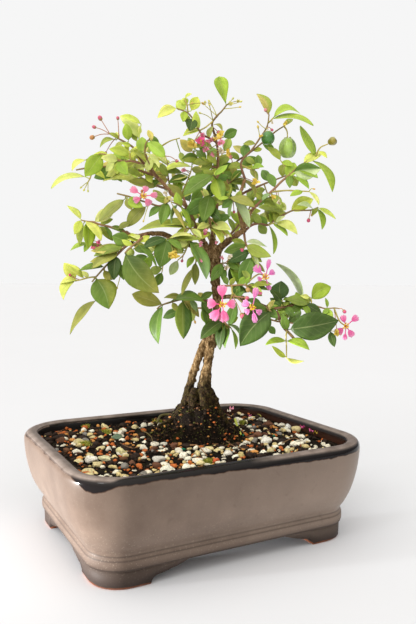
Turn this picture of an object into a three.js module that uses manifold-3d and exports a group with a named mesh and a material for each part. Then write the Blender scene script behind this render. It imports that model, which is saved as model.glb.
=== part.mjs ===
// Barbados cherry bonsai in a rectangular glazed pot. Millimetres, +Z up, long side of the pot along X,
// front of the pot towards -Y. The tree is laid out from the ground under the middle of the pot, and the
// whole is moved at the end so that the origin is on the ground under the middle of its bounding box.
import * as THREE from 'three';
import Module from 'manifold-3d';
import { mergeVertices } from 'three/addons/utils/BufferGeometryUtils.js';

const wasm = await Module();
wasm.setup();
const { Manifold, Mesh: ManifoldMesh } = wasm;

// Driving dimensions of the pot.
const POT_LENGTH = 200;
const POT_DEPTH = 160.6;
const POT_HEIGHT = 64.6;
const POT_CORNER = 36;
const CORNER_SHRINK = 1.2;
const POT_WALL = 9.5;
const FOOT_HEIGHT = 10.5;
const FOOT_LENGTH_LOW = 31;
const FOOT_LENGTH_HIGH = 60;
const FOOT_WIDTH = 15;
const FOOT_SCALLOP = 6;
const FOOT_TAPER_RISE = 2;
const FLOOR_TOP = 16;
const DRAIN_HOLE_RADIUS = 8;
const DRAIN_HOLE_SPREAD = 90;
const CORNER_STEPS = 4;

// Screens that keep the soil in above the two drain holes.
const SCREEN_SIZE = 26;
const SCREEN_THICKNESS = 0.8;
const SCREEN_HOLE = 5;
const SCREEN_HOLES_ACROSS = 3;
const SCREEN_RIM = 0.4;

// Soil, its root mound and the stones on it.
const TOUCH_GAP = 0.35;
const SOIL_BOTTOM = 17.6;
const SOIL_LEVEL = 57;
const SOIL_LEVELS = [SOIL_BOTTOM, 24, 39, 54, SOIL_LEVEL];
const SOIL_GAP = 0.4;
const MOUND_SIDES = 12;
const THICK_WOOD = 2.5;
const BURIED_WOOD = 8;
const HOLE_CLEARANCE = 0.5;
const STONE_COUNT = 49;
const STONE_RADIUS = 3.1;
const STONE_SHAPE = [1.3, 0.95, 1];
const STONE_SINK = 0.15;
const STONE_STRAY = 0.7;
const STONE_EDGE = 1.5;
const MOUND_PLACE = [198, 415, 0];
const MOUND_MARGIN = 1.05;
const MOUND_RIPPLES = [[5, 0.06, 0.2], [8, 0.04, 0.35]];

// Walls of the pot as [inset from the rim's outline, height], from the base up.
const OUTER_WALL = [[12.8, FOOT_HEIGHT], [11.7, 12.5], [11.9, 16.6], [13.5, 18.8], [12.6, 20.8],
  [9, 25.5], [5, 34], [1.6, 46], [0, 58], [0.5, 62.3], [2.6, 64.2], [4.5, POT_HEIGHT]];
const INNER_WALL = [[24, FLOOR_TOP], [17, 25], [12, 41], [POT_WALL, 61], [8.4, 63.6],
  [6.8, POT_HEIGHT - 0.1]];

// Root mound as [half width, half depth, height], from its foot up.
const MOUND = [[36, 20, SOIL_LEVEL - 1], [30, 18, 60], [24, 16, 65], [19, 14.5, 70], [16, 13, 75],
  [14, 11, 79], [8, 6, 81]];

// The upright edge of the feet as [inset from the base's outline, height].
const FOOT_EDGE = [[2.4, 0], [1.2, 1.2], [0.8, FOOT_HEIGHT + 1]];

// Seat, petal disc and stamen disc of a bloom, and how its petals and stamens stand out towards the
// viewer.
const BLOOM_SEAT = 1;
const PETAL_DISC = 0.9;
const PETAL_DISC_RADIUS = 1.3;
const STAMEN_DISC = 0.7;
const STAMEN_DISC_RADIUS = 0.9;
const DISC_SIDES = 6;
const CLAW_START = 1.1;
const CLAW_LIFT = 0.2;
const PETAL_LIFT = 0.7;
const STAMEN_LIFT = 0.8;
const STAMEN_RADII = [0.35, 0.75];
const FRUIT_SIDES = 9;
const FRUIT_BANDS = 6;

// Thickness of a blade, least half width of a leaf stalk, and how wide a leaf is for its length.
const BLADE = 0.7;
const STALK_HALF = 0.36;
const LEAF_WIDTH_RATIO = 0.46;
const LEAF_ARCH = 0.07;
const LEAST_LEAF = 12;
const LONG_STALK = 4;
const FREE_STALK = 1.5;
const TINY_BUD = 4.4;
const BLADE_ROWS = 2;
const ROOT_SHARE = 0.15;
const LEAST_TWIG = 0.8;
const BUD_STALK = 0.5;
const LEAST_BUD = 1;
const BUD_DEPTH = 2;
const STUB_FLARE = 1.15;
const TWIG_SIDES = 4;
const STALK_SIDES = 3;
const WOOD_SIDES = [6, 5];
// Where along a leaf its outline has points, as [share of its length, share of its half width].
const STATIONS = [
  { from: 24, at: [[0.2, 0.72], [0.5, 1], [0.8, 0.66]] },
  { from: 0, at: [[0.34, 0.96], [0.72, 0.76]] },
];

// How near a leaf may come to another piece, and the bends of its tip, in mm, that are tried in turn.
const TEST_CLEARANCE = 0.3;
const BEND_STEPS = [0, 3, -3, 6, -6, 9, -9, 12, -12, 16, -16, 20, -20];

// The crown is laid out as it is seen from one point in front of the pot. A place in it is
// [x, y, depth]: x to the right and y down in view units, depth in mm from the plane through the
// trunk towards the viewer.
const EYE = new THREE.Vector3(-189.8, -377.3, 167.1);
const VIEW_YAW = THREE.MathUtils.degToRad(-28.38);
const VIEW_PITCH = THREE.MathUtils.degToRad(2.8);
const VIEW_ROLL = THREE.MathUtils.degToRad(0.42);
const VIEW_UNITS = 626.1;
const VIEW_MIDDLE = [208, 312];
const TRUNK_DISTANCE = 444;

// Limits below which a distance, a volume or a slant counts as none.
const WELD = 1e-4;
const NO_VOLUME = 1e-6;
const NEARLY_UPRIGHT = 0.9;
const NEARLY_LEVEL = 0.1;

// Trunk, roots and limbs: the way of each from its root to its end, and its radii in mm along it.
const WOOD = [
  { name: 'left_stem', way: [[186, 420, 0], [186.5, 400, 0], [189.5, 385, 0], [195, 368, 0],
    [202, 351, 0], [208, 340, 0]], radii: [4.2, 3.8, 3, 2.75, 2.8, 3.2] },
  { name: 'right_stem', way: [[208, 422, 0], [206.5, 400, 0], [204.5, 384, 0], [206, 365, 0],
    [210, 345, 0]], radii: [6.5, 6, 4.8, 4.1, 4.6] },
  { name: 'root_left', way: [[188, 398, 2], [181, 408, 6], [174, 419, 10], [165, 432, 13]],
    radii: [3.4, 3, 2.4, 1.3] },
  { name: 'root_front_left', way: [[193, 399, 3], [192, 411, 9], [189, 425, 13], [186, 437, 15]],
    radii: [3.6, 3.4, 2.6, 1.5] },
  { name: 'root_front_right', way: [[203, 396, 3], [205, 410, 9], [208, 424, 13], [212, 437, 15]],
    radii: [4, 3.6, 2.8, 1.5] },
  { name: 'root_right', way: [[209, 394, 1], [217, 407, 4], [225, 419, 7], [236, 432, 9]],
    radii: [3.8, 3.2, 2.4, 1.3] },
  { name: 'root_back_right', way: [[207, 394, -3], [213, 406, -9], [221, 417, -15]],
    radii: [3.8, 3.2, 1.8] },
  { name: 'root_back_left', way: [[190, 396, -3], [183, 406, -9], [174, 416, -15]],
    radii: [3.4, 2.8, 1.6] },
  { name: 'trunk', way: [[209.5, 346, 0], [215.5, 326, 0], [217, 310, 0],
    [216, 288, 0], [214.5, 262, 0], [213.5, 252, 0], [211, 245, 0]],
    radii: [5, 3.4, 3, 2.9, 4.6, 5.4, 3.4] },
  { name: 'limb_left_high', way: [[208, 249, 0], [199, 234, 3], [195, 226, 4], [190, 213, 5],
    [183, 203, 7], [173, 195, 8], [163, 183, 9], [146, 166, 10]],
    radii: [2, 1.6, 1.4, 1.4, 1.4, 1.3, 1.3, 1.1] },
  { name: 'limb_left_middle', way: [[211, 252, 1], [197, 247, 5], [175, 240, 10], [165, 234.5, 12],
    [150, 233.5, 14], [136, 236, 15], [121, 231, 16]], radii: [2.8, 2.3, 1.9, 1.7, 1.5, 1.3, 1.1] },
  { name: 'limb_right', way: [[212, 255, 0], [222, 246, 2], [237, 234.5, 4], [246, 230, 4]],
    radii: [3.2, 2.5, 2.2, 1.4] },
  { name: 'limb_right_high', way: [[242, 233, 4], [242, 226, 5], [238, 205, 6], [240, 195, 5],
    [245, 179, 2]], radii: [1.7, 1.4, 1.2, 1.2, 1.05] },
  { name: 'limb_right_bough', way: [[243, 232, 4], [247, 220, 7], [252, 210, 8]], radii: [1.4, 1.3, 1.2] },
  { name: 'leader', way: [[212, 250, -1], [213, 236, -5], [215, 220, -8], [217, 200, -8],
    [218, 180, -6], [218, 160, -4], [218, 150, -3]], radii: [2.4, 1.9, 1.7, 1.5, 1.3, 1.1, 1] },
  { name: 'limb_low_right', way: [[216, 297, 0], [236, 297, 2], [250, 300, 3], [264, 306.5, 3],
    [276, 311, 4]], radii: [1.7, 1.4, 1.4, 1.4, 1.35] },
];

// Leafy sprays. stem starts on the limb that carries it and its second place is where the spray takes
// over from the stub on the limb; thick gives its radii in mm at its foot and tip; twigs branch off it.
// A leaf is [name, root x, root y, tip x, tip y, width seen, bend of the tip towards the viewer in mm,
// 1 or -1 for the upper or lower face showing, sideways bow, tone]. A bud is [stalk root x, y, bud x, y,
// size].
const SPRAYS = [
  { name: 'spray_high_left', stem: [[146, 166, 10], [141, 160, 11], [136, 151, 12], [132, 146.5, 13],
    [125, 142, 14], [119, 139, 15], [110, 134, 16]], thick: [0.95, 0.5],
    twigs: [[[136, 151, 12], [139, 145, 11], [139, 139, 11]]],
    leaves: [
      ['L1', 116.5, 140, 100, 147.5, 4.5, 5, 1, 2.5, 'M'], ['L1b', 119.5, 138, 116, 132, 4, -2, 1, 0, 'O'],
      ['L2', 128.5, 141, 126, 123, 10, 4, 1, 0, 'M'], ['L3', 139, 139, 120, 116, 8, -5, 1, 0, 'L'],
      ['L3b', 139, 135, 139.5, 126, 4, -2, 1, 0, 'M']],
    buds: [[110, 134, 100, 118, 5], [110, 134, 94, 127, 4], [110, 134, 92, 137.5, 5],
      [119, 139, 117.8, 118, 3.5], [116, 138, 105.5, 153, 3]] },
  { name: 'spray_left_fork', stem: [[150, 170, 9], [140, 163.5, 17], [131, 161, 20], [124, 161.5, 21],
    [117, 160, 22], [109, 156, 22], [102, 154, 21], [94, 156, 20], [86, 160, 19]], thick: [0.85, 0.45],
    twigs: [[[131, 161, 20], [130, 156, 21], [129, 151.5, 21]]],
    leaves: [
      ['L4', 130, 155, 109, 149, 9, 5, 1, 1, 'L'], ['L5', 118, 160.5, 101, 158, 9, 8, 1, 1, 'P'],
      ['L6', 102, 154, 85, 176.5, 14, 4, 1, 0, 'L'], ['L7', 86, 160, 72, 171, 6, 3, 1, 2.5, 'Y'],
      ['L11', 118, 162, 128, 175, 12, 5, 1, 0, 'L'], ['L17', 129, 152, 138, 149, 4, 2, -1, 0, 'Y']],
    buds: [] },
  { name: 'spray_left_arm', stem: [[156, 176, 8], [143, 171.5, 3], [131, 169, 2], [117, 167.5, 1],
    [107, 166.5, 1], [98, 167, 2], [84, 168.5, 3], [76, 170, 3]], thick: [0.9, 0.55],
    twigs: [[[92, 167.5, 3], [90.5, 177, 6], [88, 182, 8]]],
    leaves: [
      ['L8', 86, 177, 51, 188.5, 5.5, 6, 1, 5, 'Y'], ['L9', 118, 169, 94, 178, 12, -6, 1, 0, 'D'],
      ['L10', 140, 183, 103, 181, 5, -4, 1, 2, 'P'], ['L18', 134, 169, 141, 161, 7, -6, 1, 0, 'T'],
      ['L9b', 108, 168, 122, 182, 8, -9, 1, 0, 'D']],
    buds: [[88, 182, 81, 187.5, 2], [88, 182, 84, 190, 2], [88, 182, 88, 191, 2], [98, 167, 93, 173, 2]] },
  { name: 'spray_left_crest', stem: [[159, 179, 8], [154, 172, 17], [148, 161, 23], [145, 152, 25],
    [146, 143, 26], [150, 139, 26]], thick: [0.85, 0.5], twigs: [],
    leaves: [
      ['L12', 142, 153, 142, 137, 10, -4, 1, 0, 'L'], ['L13', 147, 142, 165, 157, 10, 5, 1, 2, 'L'],
      ['L16', 145, 153, 159, 168, 5, 7, 1, 0, 'T'], ['L19', 147, 171, 152, 156, 8, 5, 1, 0, 'G'],
      ['L14', 152, 141, 148, 130, 6, -3, 1, 0, 'M']],
    buds: [] },
  { name: 'spray_left_second', stem: [[188, 209, 5], [184, 199, -4], [182, 193, -7], [176, 189, -8],
    [170, 185, -9], [168, 176, -10], [168, 166, -10], [165, 156, -10], [160, 147, -9]], thick: [0.85, 0.45],
    twigs: [[[182, 193, -7], [186, 184, -8], [190, 174, -8], [192, 167, -8]],
      [[160, 147, -9], [170, 141, -8], [180, 138, -8]]],
    leaves: [
      ['L15', 168, 165, 152, 150, 6, 4, 1, 0, 'P'], ['L14b', 160, 147, 149, 135.5, 8, -2, 1, 0, 'D'],
      ['L21', 192, 167, 163, 172, 6, 5, 1, 2, 'L'], ['L22', 170, 179, 152, 182, 7, 3, 1, 0, 'O'],
      ['L23', 188, 176, 170, 181, 5, 2, 1, 0, 'O'], ['L21b', 186, 184, 174, 189, 6, -7, 1, 0, 'D']],
    buds: [[190, 174, 183.5, 170, 4], [165, 156, 177, 161, 3.5]] },
  { name: 'spray_left_inner', stem: [[177, 198.5, 7], [169, 201, 16], [160, 206, 18], [149, 203, 19],
    [139, 200, 19], [129, 196.5, 19], [117, 193.5, 19]], thick: [0.8, 0.55],
    twigs: [[[139, 200, 19], [141, 198, 21], [143.5, 196, 23]]],
    leaves: [
      ['L25', 127, 199, 143, 207, 11, 5, 1, 0, 'L'], ['L26', 168, 201, 160, 196, 5, -3, -1, 0, 'W'],
      ['L27', 168, 203, 161, 224.5, 10, 5, 1, 0, 'O'], ['L31', 147, 206, 127, 227, 10, -5, 1, 0, 'O'],
      ['N3', 125, 199, 99, 221, 7, 3, 1, 0, 'O'], ['L24', 163, 204, 172, 196, 5, 3, 1, 0, 'D']],
    buds: [[149, 203, 143.5, 221, 2], [139, 200, 142, 191, 3]] },
  { name: 'spray_left_fall', stem: [[187, 208, 5], [184, 209, 13], [181, 207, 17], [177, 204, 20],
    [171, 202, 21]], thick: [0.7, 0.45], twigs: [],
    leaves: [
      ['L28', 170, 202, 185, 229, 4, 6, 1, -3, 'G'], ['L29', 181, 206, 190, 228, 5, 4, 1, 0, 'G'],
      ['L30', 177, 205, 172, 224, 4, 6, -1, 0, 'T']],
    buds: [] },
  { name: 'spray_left_shelf', stem: [[197, 229, 4], [191, 228.5, 12], [187, 228, 16]],
    thick: [0.75, 0.5], twigs: [],
    leaves: [
      ['L32', 187, 228.5, 139, 230, 5, 8, 1, 3, 'L'], ['L33', 188, 227, 168, 224, 5, -4, 1, 0, 'O']],
    buds: [[190, 228, 195, 236, 4], [187, 228, 183, 234, 3]] },
  { name: 'spray_top_left', stem: [[216, 142, -3], [209, 138, 4], [202, 134, 8], [197, 127, 9],
    [193, 119, 10], [188, 113, 10], [184, 111, 11], [176, 108, 12]], thick: [0.8, 0.45],
    twigs: [[[188, 113, 10], [187, 105, 11], [184.5, 99, 12]]],
    leaves: [
      ['M1', 177, 108, 157.5, 118, 9, 4, 1, 3, 'Y'], ['M2', 186, 110, 176.5, 101, 9, -3, 1, 0, 'L'],
      ['M3', 185, 99, 192, 94, 3, 3, 1, 1, 'Y'], ['M4', 191, 111, 198, 97, 9, -3, 1, 0, 'L'],
      ['M6', 185, 111, 183, 122, 8, 4, 1, 0, 'L'], ['M7', 192, 119, 190, 131, 10, 4, 1, 0, 'D'],
      ['M8', 198, 130, 184, 134, 5, 2, 1, 1, 'G']],
    buds: [[202, 134, 200, 141, 7], [200, 131, 192, 144, 6], [187, 105, 192, 103, 2]] },
  { name: 'spray_top', stem: [[218, 150, -3], [215, 136, -2], [212, 124, 0], [217, 116, 1],
    [222, 111, 2], [226.5, 105, 3]], thick: [0.95, 0.5],
    twigs: [[[215, 134, -2], [219, 136, -4], [223, 137.5, -5]]],
    leaves: [
      ['T1', 226, 105, 219, 76.5, 12, -4, 1, 2, 'L'], ['M11', 211, 126, 209, 139, 5.5, 4, 1, 0, 'O'],
      ['M12', 213, 125, 222.5, 131, 3, 3, 1, 2, 'O'], ['T2', 223, 137.5, 237, 130, 10, -4, 1, 0, 'D']],
    buds: [[226.5, 105, 233, 98.5, 2], [226.5, 105, 241, 101.5, 2], [224, 109, 240, 107, 2],
      [217, 116, 209, 101, 2], [217, 116, 203, 103.5, 2.5], [214, 121, 200, 113, 2],
      [213, 127, 219, 133, 5]] },
  { name: 'spray_top_inner', stem: [[218, 168, -6], [208, 165, -9], [199, 160, -10], [193, 152, -10]],
    thick: [0.8, 0.5], twigs: [[[208, 165, -9], [208, 157, -5], [207, 151, -3]]],
    leaves: [
      ['M9', 193, 152, 180, 139.5, 10, 3, 1, 0, 'O'], ['M10', 198, 160, 181, 160, 10, 4, 1, 2, 'D'],
      ['M13', 207, 152, 199, 147, 6, 2, 1, 0, 'D']],
    buds: [[207, 152, 211, 140, 4], [208, 157, 213, 155, 4]] },
  { name: 'spray_right_crown', stem: [[245, 179, 2], [242, 170, 2], [241, 163, 1], [245, 157, 1],
    [251, 151, 1], [256, 144, 1], [260, 138, 1], [266, 129, 2], [268, 123, 3], [269, 115, 3]],
    thick: [0.95, 0.45],
    twigs: [[[241, 165, 1], [250, 169, 5], [259, 168, 6]], [[268, 123, 3], [270.5, 121, 4], [273, 118, 5]],
      [[266, 129, 2], [267, 128.5, 7], [268, 129, 12]]],
    leaves: [
      ['T3', 243, 158, 246, 144, 10, -5, 1, 0, 'O'], ['T4', 269, 115, 256.5, 94, 9, -4, 1, 0, 'D'],
      ['T5', 272, 118, 300, 113.5, 5, -4, 1, 3, 'M'], ['T6', 273, 119.5, 313.5, 125.5, 4.5, 6, 1, 3, 'L'],
      ['C11', 259, 168, 258, 155, 8, -4, 1, 0, 'M'], ['C17', 251, 169, 264, 167, 5, 6, 1, 1, 'L']],
    buds: [[269, 115, 265.5, 110, 3.5], [260, 138, 258, 127, 2.5], [266, 129, 258, 122, 2],
      [267, 127, 272, 130, 3]] },
  { name: 'spray_right_crest', stem: [[218, 172, -6], [223, 170, -13], [228, 169, -14], [233, 165, -14],
    [240, 159, -13], [247, 155, -12], [252, 151, -12], [262, 143, -10], [275, 132, -8], [284, 126, -6]],
    thick: [0.85, 0.5], twigs: [[[284, 126, -6], [287, 131, -3], [287.5, 137, -2]]],
    leaves: [
      ['T25', 284, 126, 293, 119, 5, -3, 1, 0, 'M'], ['T26', 247, 155, 233, 146, 7, -3, 1, 0, 'D'],
      ['T27', 240, 159, 228, 153, 6, 4, 1, 0, 'M'], ['T28', 262, 143, 275, 152, 7, -5, 1, 0, 'D']],
    buds: [[284, 126, 289, 121, 2], [233, 165, 231, 157, 4]] },
  { name: 'spray_right_bough', stem: [[252, 210, 8], [262, 200, 11], [271, 192, 12], [276, 187, 12],
    [282, 181, 12], [290, 174.5, 11], [297, 168, 10], [302, 164.5, 9], [307, 161.5, 8], [311, 160.5, 7],
    [315, 158, 7]], thick: [1.0, 0.5],
    twigs: [[[290, 174.5, 11], [286, 168, 9], [281, 161, 8]],
      [[271, 192, 12], [286, 190.5, 15], [299, 191, 17], [309, 191.5, 18]],
      [[315, 158, 7], [318, 151, 7], [321, 147, 7], [328, 144, 7]]],
    leaves: [
      ['T8', 315, 156, 300, 126, 8, -5, 1, -2, 'G'], ['T9', 303, 164, 322, 153.5, 7, -6, 1, 0, 'G'],
      ['T10', 285, 177, 295, 163, 13, -5, 1, 0, 'L'], ['T11', 293, 172, 321, 168.5, 15, 7, 1, 0, 'D'],
      ['T12', 312, 161, 332.5, 192, 7, 8, 1, 6, 'G'], ['T13', 290, 176, 290, 188, 8, 6, 1, 0, 'D'],
      ['T14', 292, 176, 309, 189, 5, 9, 1, 0, 'L'], ['T7', 281, 161, 267.5, 147, 7, -2, 1, 0, 'G'],
      ['C12', 275, 188, 268, 173, 8.5, -5, 1, 0, 'D'], ['C10', 271, 194, 262, 201, 4.5, 4, 1, 0, 'T'],
      ['T24', 272, 194, 281, 209, 8, 6, 1, 0, 'G'], ['T15', 309, 191.5, 319, 205, 4, 3, 1, 0, 'G']],
    buds: [[309, 191.5, 314, 189, 2], [271, 193, 273, 199, 3], [276, 189, 279, 202, 3]] },
  { name: 'spray_right_arm', stem: [[246, 230, 4], [252, 225, 4], [260, 223.5, 3], [268, 225, 2],
    [276, 219, 1], [287, 213, 0], [293, 210.5, 0], [299, 210.5, 0], [311, 210, 0], [318, 207.5, 0]],
    thick: [0.9, 0.5], twigs: [[[268, 225, 2], [272, 223.5, 4], [275, 223, 5]]],
    leaves: [
      ['T16', 290, 211, 313, 199, 11, -5, 1, 0, 'G'], ['T17', 313, 209, 297, 205, 4.5, 4, 1, 1, 'T'],
      ['T18', 318, 208, 335.5, 219, 4, 4, 1, 2, 'O'], ['T19', 317, 208, 322, 229.5, 4.5, 5, 1, 3, 'G'],
      ['T20', 287, 213, 265, 219, 11, -5, 1, 0, 'M'], ['T21', 275, 223, 297.5, 234.5, 8, 6, 1, 0, 'D'],
      ['T21b', 275, 223, 285, 216.5, 4, 6, 1, 0, 'T'], ['T22', 273, 224, 287.5, 236, 5, 9, 1, 0, 'L'],
      ['T23', 269, 225, 273.5, 254, 3.5, 4, 1, 4, 'G']],
    buds: [[311, 210, 308.5, 220.5, 4], [313, 209.5, 312, 215, 3]] },
  { name: 'spray_heart_upper', stem: [[218, 182, -6], [216, 179, 6], [214.5, 176.5, 14], [213.5, 175, 20]],
    thick: [0.85, 0.6], twigs: [],
    leaves: [
      ['C1', 213, 175, 183, 196, 14, 6, 1, 0, 'M'], ['C2', 216, 177, 222, 201.5, 15, 8, 1, 0, 'G']],
    buds: [] },
  { name: 'spray_heart_low', stem: [[214, 236, -5], [211, 228, 4], [209, 217, 8], [208, 206, 10],
    [210, 194, 11]], thick: [0.9, 0.5], twigs: [],
    leaves: [
      ['C3', 211, 193, 203, 222, 17, 5, 1, 0, 'V'], ['C3b', 208, 198, 185, 214, 15, -3, 1, 0, 'V'],
      ['C4', 208, 207, 221, 220, 10, 5, 1, 0, 'V'], ['C16', 210, 226, 231, 230, 9, 9, 1, 1, 'L'],
      ['C18', 210, 224, 197, 229, 7, 7, 1, 0, 'P'], ['Q1', 211, 230, 221, 243, 5, 9, 1, 0, 'G']],
    buds: [[210, 226, 205, 234, 4], [209, 217, 227, 236, 3]] },
  { name: 'spray_heart_right', stem: [[238.5, 204, 6], [235.5, 202, 14], [232, 199, 18], [229, 197, 20]],
    thick: [0.8, 0.5], twigs: [],
    leaves: [
      ['C7', 229, 197, 255, 207, 9, 7, 1, 0, 'O'], ['C8', 233, 201, 250, 228, 8, 8, -1, 0, 'T'],
      ['C15', 233, 200, 230, 217, 4, 6, 1, 0, 'T']],
    buds: [[233, 200, 234, 212, 3]] },
  { name: 'spray_heart_top', stem: [[217.5, 190, -7], [223, 186.5, -3], [228, 184, -3], [234, 179, -5],
    [239, 176, -7]], thick: [0.85, 0.5], twigs: [],
    leaves: [
      ['C5', 230, 182, 241, 171, 4, 5, 1, 0, 'D'], ['C6', 235, 179, 257, 200, 4, -7, 1, 3, 'O'],
      ['C19', 228, 184, 236, 192, 5, -6, 1, 0, 'D']],
    buds: [[239, 176, 255, 182, 5], [228, 184, 226, 177, 3]] },
  { name: 'spray_left_end', stem: [[121, 231, 16], [110, 227, 18], [98, 224, 19], [94, 222, 19],
    [87, 221.5, 19], [81, 220, 19]], thick: [0.9, 0.45],
    twigs: [[[92, 222, 19], [91, 234, 15], [90, 245, 13]]],
    leaves: [
      ['N1', 80, 220, 67, 205.5, 6, -4, 1, 0, 'Y'], ['N2', 94, 221, 115, 208, 11, -5, 1, 0, 'P'],
      ['N4a', 81, 221, 74.5, 234.5, 7, 4, 1, 0, 'L'], ['N4b', 85, 222, 101, 241, 7, 8, 1, 0, 'Y'],
      ['N4c', 87, 223, 88, 249, 12, 5, 1, 0, 'M'], ['N4d', 90, 244, 70.5, 250.5, 4.5, 3, 1, 1, 'G'],
      ['N4f', 91, 243, 104, 252, 8, -5, 1, 0, 'M'], ['N5', 104, 226, 111, 239, 4, 4, 1, 0, 'D']],
    buds: [[91, 240, 98, 246, 3]] },
  { name: 'spray_left_middle', stem: [[173, 239.5, 10], [170, 238.5, 18], [167.5, 239, 23]],
    thick: [0.85, 0.6], twigs: [],
    leaves: [
      ['N20', 168, 239, 142, 249, 7, 6, 1, 0, 'L'], ['N21', 167, 240, 160, 267.5, 17, 2, 1, 0, 'D'],
      ['N20b', 169, 238.5, 192, 236, 4.5, 4, 1, 1, 'P']],
    buds: [[169, 239.5, 173.5, 254, 7]] },
  { name: 'spray_left_low', stem: [[138, 236, 15], [132, 242, 21], [125, 247, 23], [118, 254, 24],
    [110, 262, 24], [104, 268, 24], [96, 277, 23], [92, 282, 23]], thick: [1.0, 0.5],
    twigs: [[[96, 277, 23], [89, 277.5, 25], [80, 280, 26], [75, 281, 26]],
      [[104, 268, 24], [105, 280, 15], [101, 291, 12], [97, 300, 11]],
      [[110, 262, 24], [117, 268, 20], [121, 273, 18]]],
    leaves: [
      ['N7', 131, 243, 112, 236, 12, -5, 1, 0, 'M'], ['N8', 118, 253, 92, 268, 5, 7, 1, 0, 'P'],
      ['N9', 104, 266, 78.5, 271, 6, 3, 1, 0, 'O'], ['N6', 124, 247, 91, 251, 6, 1, 1, 1, 'O'],
      ['N14', 96, 279, 109, 309, 20, 6, 1, 0, 'D'], ['N15', 97, 299, 70, 334.5, 7, 4, 1, 0, 'O'],
      ['N16', 121, 272, 104, 277, 10, -6, 1, 0, 'D'], ['N17', 117, 256, 114, 280, 9, 6, 1, 0, 'V'],
      ['N10', 75, 280, 64, 263, 11, -3, 1, 0, 'Y'], ['N11', 89, 277, 82, 271, 5, 4, 1, 0, 'P'],
      ['N13', 76, 281, 63.5, 300, 8, 4, 1, 0, 'Y']],
    buds: [[80, 280, 70, 275, 3], [121, 273, 117, 288, 2]] },
  { name: 'spray_left_hanging', stem: [[147, 234, 14], [142, 238, 24], [136, 243, 31], [130, 248, 34],
    [125, 253, 35]], thick: [0.9, 0.55], twigs: [[[142, 238, 24], [137, 246, 24], [133.6, 249, 25.5]]],
    leaves: [
      ['N18', 124, 254, 159, 293, 23, 4, 1, 0, 'O'], ['N19', 136, 244, 157, 268, 4, 3, 1, 0, 'O']],
    buds: [] },
  { name: 'spray_centre_hanging', stem: [[194, 246.5, 5], [191, 243, 16], [189, 240, 21]],
    thick: [0.85, 0.6],
    twigs: [[[189.5, 240.5, 20], [194, 252, 15], [196, 261, 13], [194, 268, 12]],
      [[189.5, 240.5, 20], [184, 254, 14], [178, 260, 12]]],
    leaves: [
      ['N23', 189, 240, 206.5, 279, 12, 5, 1, 3, 'T'], ['N24', 196, 262, 195, 285, 6, 4, 1, 0, 'O'],
      ['N26', 194, 267, 182, 295, 5, 3, 1, 3, 'O'], ['N22', 178, 260, 170, 275, 9, 4, -1, 0, 'W']],
    buds: [[192, 247, 200, 245, 4], [196, 261, 200.5, 260, 4], [184, 254, 182, 261, 3]] },
  { name: 'spray_low_left', stem: [[214, 300, 0], [207, 300.5, 4], [200, 300, 6], [185, 299, 8],
    [175, 301, 9], [162, 305, 10], [157, 309, 10]], thick: [1.0, 0.5], twigs: [],
    leaves: [
      ['N27', 163, 304, 132, 294, 15, 3, 1, 0, 'O'], ['N28', 168, 302, 205, 303, 6, 12, 1, 4, 'M'],
      ['N29', 163, 305, 158.5, 344, 11, 4, 1, 0, 'D'], ['N30', 183, 300, 183.5, 339, 14, 4, 1, 0, 'O'],
      ['N31', 182, 299, 199, 317, 9, -6, 1, 0, 'D'], ['N32', 201, 301, 209, 332, 11, 5, 1, 0, 'V'],
      ['Q10', 206, 300, 198, 293, 7, -4, 1, 0, 'O']],
    buds: [[190, 299, 195, 322, 2.5]] },
  { name: 'spray_low_centre', stem: [[217, 316, 0], [221, 319, 8], [226, 324, 12], [231, 328, 13]],
    thick: [0.8, 0.5], twigs: [],
    leaves: [
      ['N33', 222, 322, 200.5, 339, 9, 4, 1, 0, 'G'], ['N34', 224, 323, 220, 350, 7, 3, 1, 0, 'O'],
      ['N35', 229, 328, 225, 348, 6.5, 4, 1, 0, 'G'], ['N36', 231, 329, 235.5, 349, 4, 3, 1, 0, 'G'],
      ['N37', 227, 325, 240, 335, 4, 5, 1, 2, 'T'], ['N38', 228, 325, 238, 317, 6, -3, 1, 0, 'O']],
    buds: [] },
  { name: 'spray_right_shoulder', stem: [[244, 233, 4], [245, 240, 9], [246, 244, 10], [249, 250, 11],
    [252, 257, 11], [251, 264, 11]], thick: [0.85, 0.5], twigs: [],
    leaves: [
      ['Q2', 247, 244, 271, 256.5, 10, 6, 1, 0, 'M'], ['Q2a', 246, 242, 267, 247, 5, -6, 1, 0, 'T'],
      ['Q3', 251, 257, 240, 284, 13, 4, 1, 0, 'G'], ['Q6', 250, 254, 258, 268, 6, 7, -1, 0, 'T'],
      ['Q7', 251, 262, 265, 272, 5, -4, 1, 0, 'O'], ['Q8', 251, 264, 249, 283, 7, -6, 1, 0, 'O']],
    buds: [[247, 245, 241.5, 250.5, 5]] },
  { name: 'spray_trunk_side', stem: [[214, 266, 0], [219, 264, 8], [225, 263, 9], [231, 265, 9]],
    thick: [0.7, 0.45], twigs: [],
    leaves: [
      ['Q9', 223, 264, 211, 281, 11, 4, 1, 0, 'T'], ['Q5', 226, 263, 240, 271, 6, 5, 1, 0, 'O'],
      ['Q4', 231, 265, 230, 282, 7, -3, 1, 0, 'V']],
    buds: [[225, 263, 230, 257, 3], [222, 264, 226, 269, 3]] },
  { name: 'spray_of_bloom', stem: [[217, 286, 0], [224, 286, 12], [232, 285.5, 18], [239, 285, 20],
    [245, 285, 20], [252, 286, 20]], thick: [0.8, 0.5],
    twigs: [[[232, 285.5, 18], [232, 291, 20], [232.5, 296, 21]],
      [[232.3, 294, 20.6], [229, 302, 23], [222.5, 304.5, 24]],
      [[232.1, 292.5, 20.3], [243, 303, 20], [252.5, 307.5, 23]],
      [[245, 285, 20], [254, 277, 15], [260, 274, 11.5], [265.5, 277, 15]]],
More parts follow.
